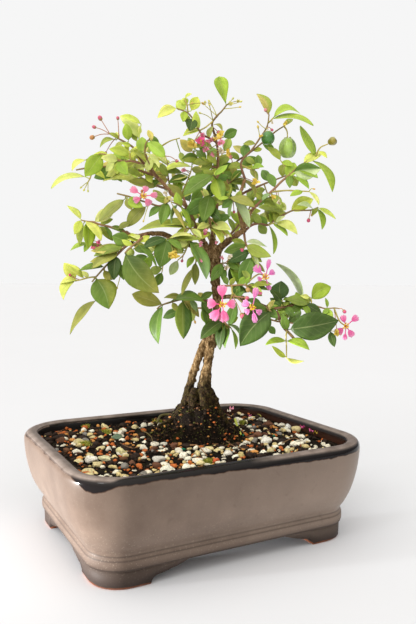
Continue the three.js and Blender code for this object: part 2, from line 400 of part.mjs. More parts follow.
    leaves: [
      ['Q11', 252, 286, 268, 290, 5, -3, 1, 0, 'D'], ['Q11b', 251, 286, 262, 292, 4, 3, 1, 0, 'L'],
      ['Q14', 237, 285, 238, 297, 4, -5, 1, 0, 'G']],
    buds: [[245, 285, 248, 290, 5], [232.5, 296, 247, 298, 4.5], [252, 286, 260, 293, 4.5],
      [233, 297, 242.5, 316, 6]] },
  { name: 'spray_right_front', stem: [[261, 305, 3], [266, 308, 13], [271, 311.5, 19]],
    thick: [0.95, 0.6], twigs: [[[266, 308, 13], [267, 318, 9], [268, 325, 7]]],
    leaves: [
      ['N39', 271, 312, 240, 346, 23, 6, 1, 0, 'M'], ['N41', 268, 325, 275, 334, 7, -3, 1, 0, 'D'],
      ['Q12', 268, 310, 275, 300, 5, 5, 1, 0, 'T']],
    buds: [] },
  { name: 'spray_right_hanging', stem: [[276, 311, 4], [283, 326, 5], [287, 331, 5], [291, 335, 5],
    [297, 342, 5]], thick: [1.2, 0.9],
    twigs: [[[287, 331, 5], [286, 336, 8], [286.5, 347, 8], [286.5, 358, 8]]],
    leaves: [
      ['P5', 288, 329.5, 338.5, 320.5, 23, 5, 1, -3, 'D'],
      ['P1', 286.5, 341, 265.5, 345, 6.5, 5, 1, 1, 'G'],
      ['P2', 286.5, 341, 309.5, 350, 8.5, 7, 1, 2, 'G'], ['P3', 286, 357, 272, 346, 5.5, 4, 1, -3, 'L'],
      ['P4', 287, 358, 304, 361, 4.5, 4, 1, -3.5, 'P']],
    buds: [] },
  { name: 'spray_right_low', stem: [[270, 308.5, 3], [277, 308, -4], [288, 306, -8], [300, 303.5, -9],
    [311, 304.5, -9], [318, 306.5, -9], [325, 308.5, -8], [334, 308, -8], [339, 308.5, -7]],
    thick: [0.9, 0.4],
    twigs: [[[325, 308.5, -8], [328, 320, -8], [330, 331, -8]],
      [[334, 308, -8], [339.5, 321, -4], [346, 326, -2]],
      [[311, 304.5, -9], [311.5, 301, -10], [310, 298, -10]],
      [[282, 307, -6], [281.5, 303, -5], [282, 300, -5]]],
    leaves: [
      ['P6', 304, 304, 322, 314, 9, 3, 1, 0, 'D'], ['P7', 282, 300, 281, 281, 16, -3, 1, 0, 'D'],
      ['P8', 309, 304, 285, 299, 9, 4, 1, 0, 'O'], ['P9', 303, 303, 276, 263.5, 7.5, -7, -1, -2, 'W'],
      ['P10', 310, 300, 331, 287, 12, -4, 1, 0, 'G'], ['P11', 310, 298, 300.5, 295.5, 5, 3, 1, 0, 'G'],
      ['P12', 327, 308, 325.5, 298, 3.5, -3, 1, 0, 'G'], ['P14', 330, 331, 334.5, 347, 6, 2, 1, 0, 'D'],
      ['P15', 326, 309, 333, 318, 5.5, 4, 1, 0, 'G'], ['P16', 303, 304.5, 309, 317, 6, 6, 1, 0, 'L'],
      ['P17', 286, 307, 294, 317, 8, 5, 1, 0, 'T'], ['P18', 289, 306, 272, 306, 8, -6, 1, 0, 'M']],
    buds: [[339, 308.5, 344.5, 311.6, 4], [334, 308, 337, 332, 6]] },
  { name: 'spray_back_heart', stem: [[212, 250, -3], [211, 243, -16], [206, 232, -28], [198, 216, -36],
    [190, 202, -40]], thick: [1.1, 0.5], twigs: [[[206, 232, -28], [212, 220, -38], [216, 208, -44]]],
    leaves: [
      ['B1', 190, 202, 184, 190, 9, -8, 1, 0, 'M'], ['B2', 191, 204, 203, 188, 11, -5, 1, 0, 'D'],
      ['B3', 198, 216, 185, 222, 9, -9, 1, 0, 'D'], ['B4', 200, 220, 214, 226, 9, -3, 1, 0, 'G'],
      ['B5', 216, 208, 222, 192, 11, -5, 1, 0, 'M'], ['B6', 214, 214, 202, 204, 10, -10, 1, 0, 'G'],
      ['B7', 206, 232, 199, 242, 7, -10, 1, 0, 'M']],
    buds: [] },
  { name: 'spray_back_right', stem: [[224, 244, 1], [229, 236, -13], [238, 226, -24], [246, 214, -31],
    [252, 203, -34]], thick: [1.1, 0.5], twigs: [[[238, 226, -24], [250, 226, -34], [262, 222, -40]]],
    leaves: [
      ['B8', 252, 203, 250, 188, 9, -6, 1, 0, 'D'], ['B9', 250, 206, 233, 198, 9, -8, 1, 0, 'M'],
      ['B10', 246, 214, 236, 214, 8, -9, 1, 0, 'G'], ['B11', 262, 222, 274, 214, 9, -6, 1, 0, 'D'],
      ['B12', 258, 223, 266, 234, 9, -8, 1, 0, 'M'], ['B13', 242, 222, 232, 232, 8, -9, 1, 0, 'D']],
    buds: [] },
  { name: 'spray_back_top', stem: [[217, 196, -8], [214, 186, -22], [209, 174, -30], [202, 162, -34],
    [196, 150, -36]], thick: [1.0, 0.45], twigs: [[[209, 174, -30], [216, 162, -36], [224, 152, -38]]],
    leaves: [
      ['B14', 196, 150, 188, 138, 8, -5, 1, 0, 'M'], ['B15', 199, 156, 182, 160, 9, -8, 1, 0, 'D'],
      ['B16', 205, 168, 196, 178, 9, -9, 1, 0, 'G'], ['B17', 224, 152, 230, 138, 9, -4, 1, 0, 'M'],
      ['B18', 219, 158, 206, 148, 8, -8, 1, 0, 'D'], ['B19', 213, 168, 226, 174, 8, -8, 1, 0, 'M']],
    buds: [] },
  { name: 'spray_back_bough', stem: [[240, 195, 5], [250, 190, -8], [264, 184, -18], [280, 178, -25],
    [296, 172, -29]], thick: [1.0, 0.45], twigs: [[[264, 184, -18], [268, 194, -26], [276, 202, -31]]],
    leaves: [
      ['B20', 296, 172, 312, 168, 10, -5, 1, 0, 'D'], ['B21', 290, 174, 297, 186, 9, -8, 1, 0, 'M'],
      ['B22', 282, 178, 284, 164, 10, -6, 1, 0, 'G'], ['B23', 270, 182, 262, 170, 9, -8, 1, 0, 'D'],
      ['B24', 276, 202, 286, 210, 9, -6, 1, 0, 'M'], ['B25', 272, 198, 264, 208, 7, -8, 1, 0, 'G']],
    buds: [] },
  { name: 'spray_back_left', stem: [[190, 244.5, 6], [182, 246, -8], [172, 250, -18], [160, 252, -25],
    [148, 256, -29]], thick: [1.0, 0.45], twigs: [[[172, 250, -18], [164, 262, -26], [162, 272, -30]]],
    leaves: [
      ['B26', 148, 256, 132, 262, 10, -5, 1, 0, 'D'], ['B27', 152, 255, 146, 240, 9, -8, 1, 0, 'M'],
      ['B28', 162, 252, 158, 238, 8, -8, 1, 0, 'G'], ['B29', 162, 272, 156, 286, 9, -5, 1, 0, 'D'],
      ['B30', 163, 268, 150, 272, 9, -8, 1, 0, 'M'], ['B31', 150, 256, 146, 270, 9, -6, 1, 0, 'G']],
    buds: [] },
  { name: 'spray_back_low_right', stem: [[238, 297.5, 2], [247, 303, -12], [258, 312, -22], [272, 320, -29],
    [290, 323, -34], [306, 323, -36]], thick: [1.0, 0.45], twigs: [],
    leaves: [
      ['B32', 306, 323, 326, 324, 11, -5, 1, 0, 'D'], ['B33', 298, 323, 310, 333, 9, -8, 1, 0, 'M'],
      ['B34', 288, 323, 296, 316, 8, -8, 1, 0, 'G'], ['B35', 272, 320, 260, 330, 10, -6, 1, 0, 'D'],
      ['B36', 260, 314, 250, 326, 9, -8, 1, 0, 'M'], ['B37', 276, 321, 290, 306, 9, -9, 1, 0, 'G']],
    buds: [] },
  { name: 'spray_back_low_left', stem: [[216, 304, -2], [210, 306, -14], [202, 308, -22], [190, 308, -28],
    [180, 310, -31]], thick: [0.95, 0.45], twigs: [],
    leaves: [
      ['B38', 180, 310, 163, 318, 9, -5, 1, 0, 'D'], ['B39', 183, 310, 184, 328, 10, -6, 1, 0, 'M'],
      ['B40', 192, 308, 182, 298, 8, -8, 1, 0, 'G'], ['B41', 202, 308, 208, 324, 9, -7, 1, 0, 'D'],
      ['B42', 196, 308, 190, 322, 8, -9, 1, 0, 'M']],
    buds: [] },
  { name: 'spray_back_high_left', stem: [[168, 189, 8], [158, 186, -6], [146, 180, -16], [132, 173, -22],
    [118, 168, -26]], thick: [0.95, 0.45], twigs: [[[146, 180, -16], [146, 166, -22], [150, 154, -26]]],
    leaves: [
      ['B43', 118, 168, 100, 166, 9, -5, 1, 0, 'M'], ['B44', 122, 169, 112, 180, 9, -8, 1, 0, 'D'],
      ['B45', 130, 172, 124, 158, 8, -8, 1, 0, 'G'], ['B46', 150, 154, 146, 142, 8, -4, 1, 0, 'M'],
      ['B47', 149, 158, 162, 156, 7, -8, 1, 0, 'D'], ['B48', 140, 177, 126, 180, 7, -9, 1, 0, 'M']],
    buds: [] },
];

// Blooms: the middle of each, then its petals as [x, y, width, height] of their limbs in view units,
// then the yellow stamens.
const BLOOMS = [
  { name: 'front', spray: 'spray_of_bloom', middle: [222.5, 304.5, 24],
    petals: [[222, 290.5, 11, 11], [211.5, 303.5, 8, 11], [231.5, 304, 8, 10], [215, 315, 8, 9],
      [224, 316.5, 10, 11]],
    stamens: [[217, 302], [220, 300.5], [219, 308], [225, 302], [226, 307]] },
  { name: 'second', spray: 'spray_of_bloom', middle: [252.5, 307.5, 23],
    petals: [[255.5, 292.5, 6, 10], [246, 303, 6, 8], [254.5, 318, 7, 10], [258.5, 312, 5, 6],
      [247.5, 312, 5, 6]],
    stamens: [[258, 304.5], [258.5, 309.5], [251, 302.5], [251.5, 311.5]] },
  { name: 'upper', spray: 'spray_of_bloom', middle: [265.5, 277, 15],
    petals: [[269, 265, 5, 8], [258.5, 271, 7, 7], [260, 280, 5, 6], [268.5, 286.5, 6, 6],
      [272.5, 272, 5, 6]],
    stamens: [[270.5, 278], [266, 272.5], [263, 281]] },
  { name: 'right', spray: 'spray_right_low', middle: [346, 326, -2],
    petals: [[343.5, 318.5, 5.5, 6], [355, 318.5, 5, 6], [340, 331, 6, 6], [351, 333.5, 5, 6],
      [345, 337, 4.5, 6]],
    stamens: [[351.5, 326], [347, 322], [348.5, 330], [342.5, 325]] },
  { name: 'left', spray: 'spray_left_inner', middle: [143.5, 196, 23],
    petals: [[134, 190, 7, 5], [145.5, 189, 6, 5], [154, 195, 7, 6], [148, 202, 6, 6], [137, 199.5, 6, 6]],
    stamens: [[141, 193], [146.5, 195], [143, 199]] },
];

// Fruits: middle, half sizes across and up in mm, number of lobes and their depth, colour.
const FRUITS = [
  { name: 'fruit_dark', middle: [268, 138, 12], half: [4.8, 4.8], lobes: 3, cut: 0.16, colour: 0x44602a },
  { name: 'fruit_green', middle: [287.5, 148.2, -2], half: [5.9, 7.3], lobes: 3, cut: 0.2,
    colour: 0x9cb84a },
  { name: 'fruit_young', middle: [130, 252.8, 26], half: [3, 3], lobes: 3, cut: 0.05, colour: 0xb0b850 },
  { name: 'fruit_spent', middle: [332.5, 141.5, 7], half: [3.1, 2.3], lobes: 3, cut: 0.15,
    colour: 0xb89b3c },
];

// Leaf tones, by the letter that ends a leaf's row.
const TONES = {
  Y: 0xd2d957, P: 0xc4d47a, L: 0x9dbf3c, G: 0x64952f, M: 0x5c7a34, O: 0x6c7a3c, D: 0x3d5f27, V: 0x2c4622,
  T: 0x5f9272, W: 0xa2cda2,
};
const POT_COLOUR = 0x7b6b60;
const SOIL_COLOUR = 0x4a3d30;
const BARK_COLOUR = 0x5f4a34;
const SCREEN_COLOUR = 0x22211f;
const PETAL_COLOUR = 0xf081b4;
const STAMEN_COLOUR = 0xe6c02c;

// Sight lines: what is to the right, up and away for the viewer.
const away = new THREE.Vector3(
  -Math.sin(VIEW_YAW) * Math.cos(VIEW_PITCH),
  Math.cos(VIEW_YAW) * Math.cos(VIEW_PITCH),
  -Math.sin(VIEW_PITCH),
);
const level = new THREE.Vector3().crossVectors(away, new THREE.Vector3(0, 0, 1)).normalize();
const rise = new THREE.Vector3().crossVectors(level, away);
const viewRight = level.clone().multiplyScalar(Math.cos(VIEW_ROLL))
  .addScaledVector(rise, Math.sin(VIEW_ROLL));
const viewUp = rise.clone().multiplyScalar(Math.cos(VIEW_ROLL))
  .addScaledVector(level, -Math.sin(VIEW_ROLL));

function seen([x, y, depth]) {
  const reach = TRUNK_DISTANCE - depth;
  return EYE.clone()
    .addScaledVector(away, reach)
    .addScaledVector(viewRight, reach * (x - VIEW_MIDDLE[0]) / VIEW_UNITS)
    .addScaledVector(viewUp, reach * (VIEW_MIDDLE[1] - y) / VIEW_UNITS);
}

function mmPerUnit(depth) {
  return (TRUNK_DISTANCE - depth) / VIEW_UNITS;
}

// A small seeded generator, so that each build scatters the same stones.
function seeded(seed) {
  let state = seed;
  return () => {
    state = (state * 1664525 + 1013904223) % 4294967296;
    return state / 4294967296;
  };
}

// A solid from points and triangles, turned to face outwards.
function solidOf(points, triangles) {
  let volume = 0;
  for (const [a, b, c] of triangles) {
    volume += points[a].dot(new THREE.Vector3().crossVectors(points[b], points[c]));
  }
  const facing = volume < 0 ? triangles.map(([a, b, c]) => [a, c, b]) : triangles;
  return new Manifold(new ManifoldMesh({
    numProp: 3,
    vertProperties: new Float32Array(points.flatMap((p) => [p.x, p.y, p.z])),
    triVerts: new Uint32Array(facing.flat()),
  }));
}

function solidFrom(geometry) {
  const bare = geometry.clone();
  bare.deleteAttribute('normal');
  bare.deleteAttribute('uv');
  const merged = mergeVertices(bare, WELD);
  return new Manifold(new ManifoldMesh({
    numProp: 3,
    vertProperties: merged.attributes.position.array,
    triVerts: new Uint32Array(merged.index.array),
  }));
}

function joined(solids) {
  return Manifold.union(solids);
}

// The largest body of a solid: crumbs that a cut leaves behind are dropped.
function mainBody(solid) {
  const bodies = solid.decompose();
  return bodies.reduce((best, body) => (body.volume() > best.volume() ? body : best));
}

function meshOf(name, solid, colour, roughness) {
  const result = solid.getMesh();
  const geometry = new THREE.BufferGeometry();
  geometry.setAttribute('position', new THREE.BufferAttribute(result.vertProperties, 3));
  geometry.setIndex(new THREE.BufferAttribute(result.triVerts, 1));
  geometry.computeVertexNormals();
  const material = new THREE.MeshStandardMaterial({ color: colour, roughness, metalness: 0 });
  const mesh = new THREE.Mesh(geometry, material);
  mesh.name = name;
  return mesh;
}

// Rings of equal length joined into a closed skin, with a flat cap at each end, or with a tip.
function loft(rings, tip) {
  const count = rings[0].length;
  const triangles = [];
  for (let i = 0; i + 1 < rings.length; i += 1) {
    for (let j = 0; j < count; j += 1) {
      const next = (j + 1) % count;
      const a = i * count + j;
      const b = i * count + next;
      triangles.push([a, b, b + count], [a, b + count, a + count]);
    }
  }
  const last = (rings.length - 1) * count;
  for (let j = 1; j + 1 < count; j += 1) {
    triangles.push([0, j + 1, j]);
    if (!tip) {
      triangles.push([last, last + j, last + j + 1]);
    }
  }
  if (!tip) {
    return solidOf(rings.flat(), triangles);
  }
  for (let j = 0; j < count; j += 1) {
    triangles.push([last + j, last + (j + 1) % count, last + count]);
  }
  return solidOf([...rings.flat(), tip], triangles);
}

// A round rod along a way, thinning from one radius of its list to the next.
function rod(points, radii, sides, startAlong, endAlong) {
  const rings = [];
  let across = new THREE.Vector3();
  for (let i = 0; i < points.length; i += 1) {
    const before = points[Math.max(i - 1, 0)];
    const after = points[Math.min(i + 1, points.length - 1)];
    const given = (i === 0 && startAlong) || (i === points.length - 1 && endAlong);
    const along = given || after.clone().sub(before).normalize();
    if (i === 0) {
      across.crossVectors(along, Math.abs(along.z) < NEARLY_UPRIGHT ? new THREE.Vector3(0, 0, 1) : level);
    }
    across = across.addScaledVector(along, -across.dot(along)).normalize().clone();
    const over = new THREE.Vector3().crossVectors(along, across);
    const spot = (radii.length - 1) * i / (points.length - 1);
    const low = Math.min(Math.floor(spot), radii.length - 2);
    const radius = THREE.MathUtils.lerp(radii[low], radii[low + 1], spot - low);
    const ring = [];
    for (let j = 0; j < sides; j += 1) {
      const turn = 2 * Math.PI * j / sides;
      ring.push(points[i].clone().addScaledVector(across, radius * Math.cos(turn))
        .addScaledVector(over, radius * Math.sin(turn)));
    }
    rings.push(ring);
  }
  return loft(rings);
}

// A knob, for a bud or the seat of a flower.
function knob(middle, radius) {
  const shape = new THREE.OctahedronGeometry(radius, 0);
  shape.translate(middle.x, middle.y, middle.z);
  return solidFrom(shape);
}

// The directions of a blade from its root to its tip: across it, and out of its upper face.
// shown is the width that the viewer sees, wide the true width, and side is 1 where the upper face
// shows and -1 where the lower face does.
function bladeFrame(root, tip, shown, wide, side) {
  const along = tip.clone().sub(root).normalize();
  const toEye = EYE.clone().sub(root).normalize();
  const flat = new THREE.Vector3().crossVectors(along, toEye).normalize();
  const lift = flat.dot(viewUp);
  const hint = Math.abs(lift) > NEARLY_LEVEL ? lift : flat.dot(viewRight);
  if (hint < 0) {
    flat.negate();
  }
  const near = new THREE.Vector3().crossVectors(flat, along);
  if (near.dot(toEye) < 0) {
    near.negate();
  }
  const roll = Math.acos(Math.min(shown / wide, 1));
  const across = flat.clone().multiplyScalar(Math.cos(roll)).addScaledVector(near, -side * Math.sin(roll));
  const face = new THREE.Vector3().crossVectors(along, across);
  if (face.dot(toEye) * side < 0) {
    face.negate();
  }
  return { across, face, flat };
}

// A thin blade of even thickness. Each row is [middle, half width]; the first row is the stalk where
// it leaves the twig, and the last is the tip.
function bladeSolid(rows, across, face, thickness) {
  const rings = rows.slice(0, -1).map(([middle, half]) => (
    [[1, 1], [-1, 1], [-1, -1], [1, -1]].map(([side, skin]) => middle.clone()
      .addScaledVector(across, side * half)
      .addScaledVector(face, skin * thickness / 2))
  ));
  return loft(rings, rows.at(-1)[0]);
}

// How long a leaf is, from its row.
function leafLength(row, twigs) {
  const [, x0, y0, x1, y1, , reach] = row;
  const depth = nearestOnTwigs(twigs, x0, y0).spot[2];
  return seen([x0, y0, depth]).distanceTo(seen([x1, y1, depth + reach]));
}

// The point of a spray's twigs that lies nearest to a place in the view.
function nearestOnTwigs(twigs, x, y) {
  let best = { gap: Infinity };
  for (const way of twigs) {
    for (let i = 0; i + 1 < way.length; i += 1) {
      const [x0, y0, d0] = way[i];
      const [x1, y1, d1] = way[i + 1];
      const length2 = (x1 - x0) ** 2 + (y1 - y0) ** 2;
      const raw = length2 ? ((x - x0) * (x1 - x0) + (y - y0) * (y1 - y0)) / length2 : 0;
      const t = THREE.MathUtils.clamp(raw, 0, 1);
      const spot = [x0 + (x1 - x0) * t, y0 + (y1 - y0) * t, d0 + (d1 - d0) * t];
      const gap = Math.hypot(spot[0] - x, spot[1] - y);
      if (gap < best.gap) {
        best = { gap, spot };
      }
    }
  }
  return best;
}

// A leaf from its row: its stalk roots in the nearest twig, and extra bends its tip to or from the
// viewer. clearance makes it stout, for testing what it comes near, and rowCount keeps only its last
// rows, without the stalk.
function leafSolid(row, twigs, extra, clearance, rowCount = Infinity) {
  const [, x0, y0, x1, y1, shown, reach, side, bow] = row;
  const { gap, spot } = nearestOnTwigs(twigs, x0, y0);
  const depth = spot[2];
  const scale = mmPerUnit(depth);
  const root = seen(spot);
  const base = gap > FREE_STALK ? seen([x0, y0, depth]) : root;
  const tip = seen([x1, y1, depth + reach + extra]);
  const length = tip.distanceTo(base);
  const wide = Math.max(shown * scale, LEAF_WIDTH_RATIO * length);
  const { across, face, flat } = bladeFrame(base, tip, shown * scale, wide, side);
  const stations = STATIONS.find((set) => length > set.from).at;
  const rows = [[root, STALK_HALF + clearance]];
  if (base.distanceTo(root) > LONG_STALK) {
    rows.push([base, STALK_HALF + clearance]);
  }
  for (const [t, share] of stations) {
    const swell = 4 * t * (1 - t);
    const middle = base.clone().lerp(tip, t)
      .addScaledVector(flat, bow * scale * swell)
      .addScaledVector(face, LEAF_ARCH * length * swell);
    rows.push([middle, share * wide / 2 + clearance]);
  }
  rows.push([tip, 0]);
  return bladeSolid(rows.slice(-Math.min(rowCount, rows.length)), across, face, BLADE + 2 * clearance);
}

// The ways of a spray's twigs in the view. The first sets out just past the stub that carries it, and
// each of the others from the nearest place on those before it.
function twigWays(spray) {
  const [, foot, next] = spray.stem;
  const start = foot.map((value, k) => value + (next[k] - value) * ROOT_SHARE);
  const ways = [[start, ...spray.stem.slice(2)]];
  for (const twig of spray.twigs) {
    const { spot } = nearestOnTwigs(ways, twig[0][0], twig[0][1]);
    ways.push([spot, ...twig.slice(1)]);
  }
  return ways;
}

// The twigs and stalks of a spray, from just past the limb that carries it.
function twigSolids(spray) {
  const way = spray.stem.map(seen);
  const along = way[2].clone().sub(way[0]).normalize();
  const stem = [way[1].clone().addScaledVector(along, TOUCH_GAP), ...way.slice(2)];
  const solids = [rod(stem, spray.thick.map((r) => Math.max(r, LEAST_TWIG)), TWIG_SIDES, along)];
  const ways = twigWays(spray);
  for (const twig of ways.slice(1)) {
    solids.push(rod(twig.map(seen), [LEAST_TWIG, LEAST_TWIG], TWIG_SIDES));
  }
  for (const [x0, y0, x1, y1, size] of spray.buds) {
    const { spot } = nearestOnTwigs(ways, x0, y0);
    if (size > TINY_BUD) {
      const end = seen([x1, y1, spot[2] + BUD_DEPTH]);
      const radius = Math.max(size * mmPerUnit(spot[2]) / 2, LEAST_BUD);
      solids.push(rod([seen(spot), end], [BUD_STALK, BUD_STALK], STALK_SIDES), knob(end, radius));
    }
  }
  for (const bloom of BLOOMS.filter((one) => one.spray === spray.name)) {
    solids.push(knob(seen(bloom.middle), BLOOM_SEAT));
  }
  return { solids, ways };
}

// Whether a solid runs into one of the others that lie near it.
function clearOf(solid, others) {
  const { min, max } = solid.boundingBox();
  return others.every((other) => {
    const apart = [0, 1, 2].some((k) => other.box.min[k] > max[k] || other.box.max[k] < min[k]);
    return apart || other.solid.intersect(solid).volume() < NO_VOLUME;
  });
}

function boxed(node, solid) {
  return { node, solid, box: solid.boundingBox() };
}

// Every leaf is bent towards or from the viewer by the least step that keeps it clear of the rest of
// the tree, and of its own spray where it can be. Leaves of one spray may touch: they are one node.
function growSprays(standing) {
  const grown = SPRAYS.map((spray) => ({ spray, ...twigSolids(spray) }));
  const others = [...standing];
  for (const { spray, solids } of grown) {
    others.push(...solids.map((solid) => boxed(spray.name, solid)));
  }
  for (const one of grown) {
    const foreign = others.filter((other) => other.node !== one.spray.name);
    const siblings = [];
    for (const row of one.spray.leaves.filter((leaf) => leafLength(leaf, one.ways) > LEAST_LEAF)) {
      const clear = BEND_STEPS
        .filter((bend) => clearOf(leafSolid(row, one.ways, bend, TEST_CLEARANCE), foreign));
      const free = clear.find((bend) => clearOf(leafSolid(row, one.ways, bend, 0, BLADE_ROWS), siblings));
      const bend = free ?? clear[0] ?? 0;
      const leaf = leafSolid(row, one.ways, bend, 0);
      one.solids.push(leaf);
      others.push(boxed(one.spray.name, leaf));
      siblings.push(boxed(one.spray.name, leafSolid(row, one.ways, bend, 0, BLADE_ROWS)));
    }
  }
  return grown.map(({ spray, solids }) => {
    const tone = new THREE.Color(0, 0, 0);
    for (const row of spray.leaves) {
      tone.add(new THREE.Color(TONES[row.at(-1)]).multiplyScalar(1 / spray.leaves.length));
    }
    return meshOf(spray.name, joined(solids), tone, 0.5);
  });
}

// A disc that faces the viewer.
function disc(middle, facing, radius, thickness) {
  const shape = new THREE.CylinderGeometry(radius, radius, thickness, DISC_SIDES);
  shape.applyQuaternion(new THREE.Quaternion().setFromUnitVectors(new THREE.Vector3(0, 1, 0), facing));
  shape.translate(middle.x, middle.y, middle.z);
  return solidFrom(shape);
}

// A bloom: fringed petals on narrow claws round one disc, and the yellow stamens before it.
function bloomSolids(bloom) {
  const [x, y, depth] = bloom.middle;
  const middle = seen(bloom.middle);
  const facing = EYE.clone().sub(middle).normalize();
  const scale = mmPerUnit(depth);
  const seat = BLOOM_SEAT + TOUCH_GAP + PETAL_DISC / 2;
  const heart = middle.clone().addScaledVector(facing, seat);
  const petals = [disc(heart, facing, PETAL_DISC_RADIUS, PETAL_DISC)];
  for (const [px, py, width, height] of bloom.petals) {
    const out = new THREE.Vector2(px - x, py - y);
    const reach = out.length();
    out.normalize();
    const long = Math.abs(out.x) * width + Math.abs(out.y) * height;
    const wide = (Math.abs(out.y) * width + Math.abs(out.x) * height) * scale / 2;
    const at = (distance, lift) => heart.clone()
      .addScaledVector(viewRight, out.x * distance * scale)
      .addScaledVector(viewUp, -out.y * distance * scale)
      .addScaledVector(facing, lift);
    const across = viewRight.clone().multiplyScalar(out.y).addScaledVector(viewUp, out.x);
    petals.push(bladeSolid([
      [at(CLAW_START, 0), STALK_HALF],
      [at(Math.max(reach - long / 2, 2 * CLAW_START), CLAW_LIFT), STALK_HALF],
      [at(reach - long / 10, PETAL_LIFT), wide],
      [at(reach + long / 2, 0), 0],
    ], across, facing, BLADE));
  }
  const front = heart.clone().addScaledVector(facing, PETAL_DISC / 2 + TOUCH_GAP + STAMEN_DISC / 2);
  const stamens = [disc(front, facing, STAMEN_DISC_RADIUS, STAMEN_DISC)];
  for (const [sx, sy] of bloom.stamens) {
    const out = new THREE.Vector3()
      .addScaledVector(viewRight, (sx - x) * scale)
      .addScaledVector(viewUp, (y - sy) * scale);
    const start = front.clone().addScaledVector(out, 0.5 * STAMEN_DISC_RADIUS / out.length());
    const end = front.clone().add(out).addScaledVector(facing, STAMEN_LIFT);
    stamens.push(rod([start, end], STAMEN_RADII, STALK_SIDES));
  }
  return { petals: joined(petals), stamens: joined(stamens) };
}

// A lobed stone fruit, like a small pumpkin.
function fruitSolid({ middle, half, lobes, cut }) {
  const shape = new THREE.SphereGeometry(1, FRUIT_SIDES, FRUIT_BANDS);
  const spots = shape.attributes.position;
  const point = new THREE.Vector3();
  for (let i = 0; i < spots.count; i += 1) {
    point.fromBufferAttribute(spots, i);
    const round = Math.atan2(point.z, point.x);
    const ring = Math.hypot(point.x, point.z);
    const waist = 1 - cut * ring * (0.5 - 0.5 * Math.cos(lobes * round));
    spots.setXYZ(i, point.x * waist * half[0], point.y * half[1], point.z * waist * half[0]);
  }
  shape.rotateX(Math.PI / 2);
  const place = seen(middle);
  shape.translate(place.x, place.y, place.z);
  return solidFrom(shape);
}

// A rectangle with round corners, as a ring of points at one height.
function roundedRing(halfX, halfY, corner, z) {
  const ring = [];
  for (let quarter = 0; quarter < 4; quarter += 1) {
    const sx = quarter === 0 || quarter === 3 ? 1 : -1;
    const sy = quarter < 2 ? 1 : -1;
    for (let step = 0; step <= CORNER_STEPS; step += 1) {
      const turn = (quarter + step / CORNER_STEPS) * Math.PI / 2;
      ring.push(new THREE.Vector3(
        sx * (halfX - corner) + corner * Math.cos(turn),
        sy * (halfY - corner) + corner * Math.sin(turn),
        z,
      ));
    }
  }
  return ring;
}

function potRing([inset, z]) {
  return roundedRing(POT_LENGTH / 2 - inset, POT_DEPTH / 2 - inset, POT_CORNER - inset * CORNER_SHRINK, z);
}

// The clear way under one side of the pot, between its feet: each foot ends in a scallop and a long taper.
function archSolid(halfSide, across) {
  const low = halfSide - FOOT_LENGTH_LOW;
  const high = halfSide - FOOT_LENGTH_HIGH;
  const top = FOOT_HEIGHT + 2;
  const half = FOOT_HEIGHT / 2;
  const taper = [(low - FOOT_SCALLOP + high) / 2, half + FOOT_TAPER_RISE];
  const shape = new THREE.Shape();
  shape.moveTo(-low, -1);
  shape.lineTo(low, -1);
  shape.quadraticCurveTo(low, half, low - FOOT_SCALLOP, half);
  shape.quadraticCurveTo(...taper, high, top);
  shape.lineTo(-high, top);
  shape.quadraticCurveTo(-taper[0], taper[1], FOOT_SCALLOP - low, half);
  shape.quadraticCurveTo(-low, half, -low, -1);
  const prism = new THREE.ExtrudeGeometry(shape, { depth: across, bevelEnabled: false, curveSegments: 3 });
  prism.translate(0, 0, -across / 2);
  prism.rotateX(Math.PI / 2);
  return prism;
}

function potSolid() {
  const body = loft([...OUTER_WALL, ...[...INNER_WALL].reverse()].map(potRing));
  const [baseInset] = OUTER_WALL[0];
  const outer = loft(FOOT_EDGE.map(([inset, z]) => potRing([baseInset + inset, z])));
  const innerInsetOfFeet = baseInset + FOOT_WIDTH;
  const inner = loft([-1, FOOT_HEIGHT + 2].map((z) => potRing([innerInsetOfFeet, z])));
  const alongX = archSolid(POT_LENGTH / 2 - baseInset, POT_DEPTH);
  const alongY = archSolid(POT_DEPTH / 2 - baseInset, POT_LENGTH);
  alongY.rotateZ(Math.PI / 2);
  const feet = outer.subtract(inner).subtract(solidFrom(alongX)).subtract(solidFrom(alongY));
  let pot = body.add(feet);
  for (const side of [-1, 1]) {
    const hole = new THREE.CylinderGeometry(DRAIN_HOLE_RADIUS, DRAIN_HOLE_RADIUS, FLOOR_TOP, 12);
    hole.rotateX(Math.PI / 2);
    hole.translate(side * DRAIN_HOLE_SPREAD / 2, 0, FLOOR_TOP / 2 + FOOT_HEIGHT - 2);
    pot = pot.subtract(solidFrom(hole));
  }
  return pot;
}

function screenSolid(side) {
  const plate = new THREE.BoxGeometry(SCREEN_SIZE, SCREEN_SIZE, SCREEN_THICKNESS);
  let screen = solidFrom(plate);
  const pitch = SCREEN_SIZE / (SCREEN_HOLES_ACROSS + SCREEN_RIM);
  for (let i = 0; i < SCREEN_HOLES_ACROSS; i += 1) {
    for (let j = 0; j < SCREEN_HOLES_ACROSS; j += 1) {
      const hole = new THREE.BoxGeometry(SCREEN_HOLE, SCREEN_HOLE, 4 * SCREEN_THICKNESS);
      hole.translate((i - 1) * pitch, (j - 1) * pitch, 0);
      screen = screen.subtract(solidFrom(hole));
    }
  }
  return screen.translate([side * DRAIN_HOLE_SPREAD / 2, 0, FLOOR_TOP + TOUCH_GAP + SCREEN_THICKNESS / 2]);
}

function innerInset(z) {
  const above = INNER_WALL.findIndex(([, height]) => height >= z);
  const [i0, z0] = INNER_WALL[Math.max(above - 1, 0)];
  const [i1, z1] = INNER_WALL[above];
  return THREE.MathUtils.mapLinear(z, z0, z1, i0, i1);
}

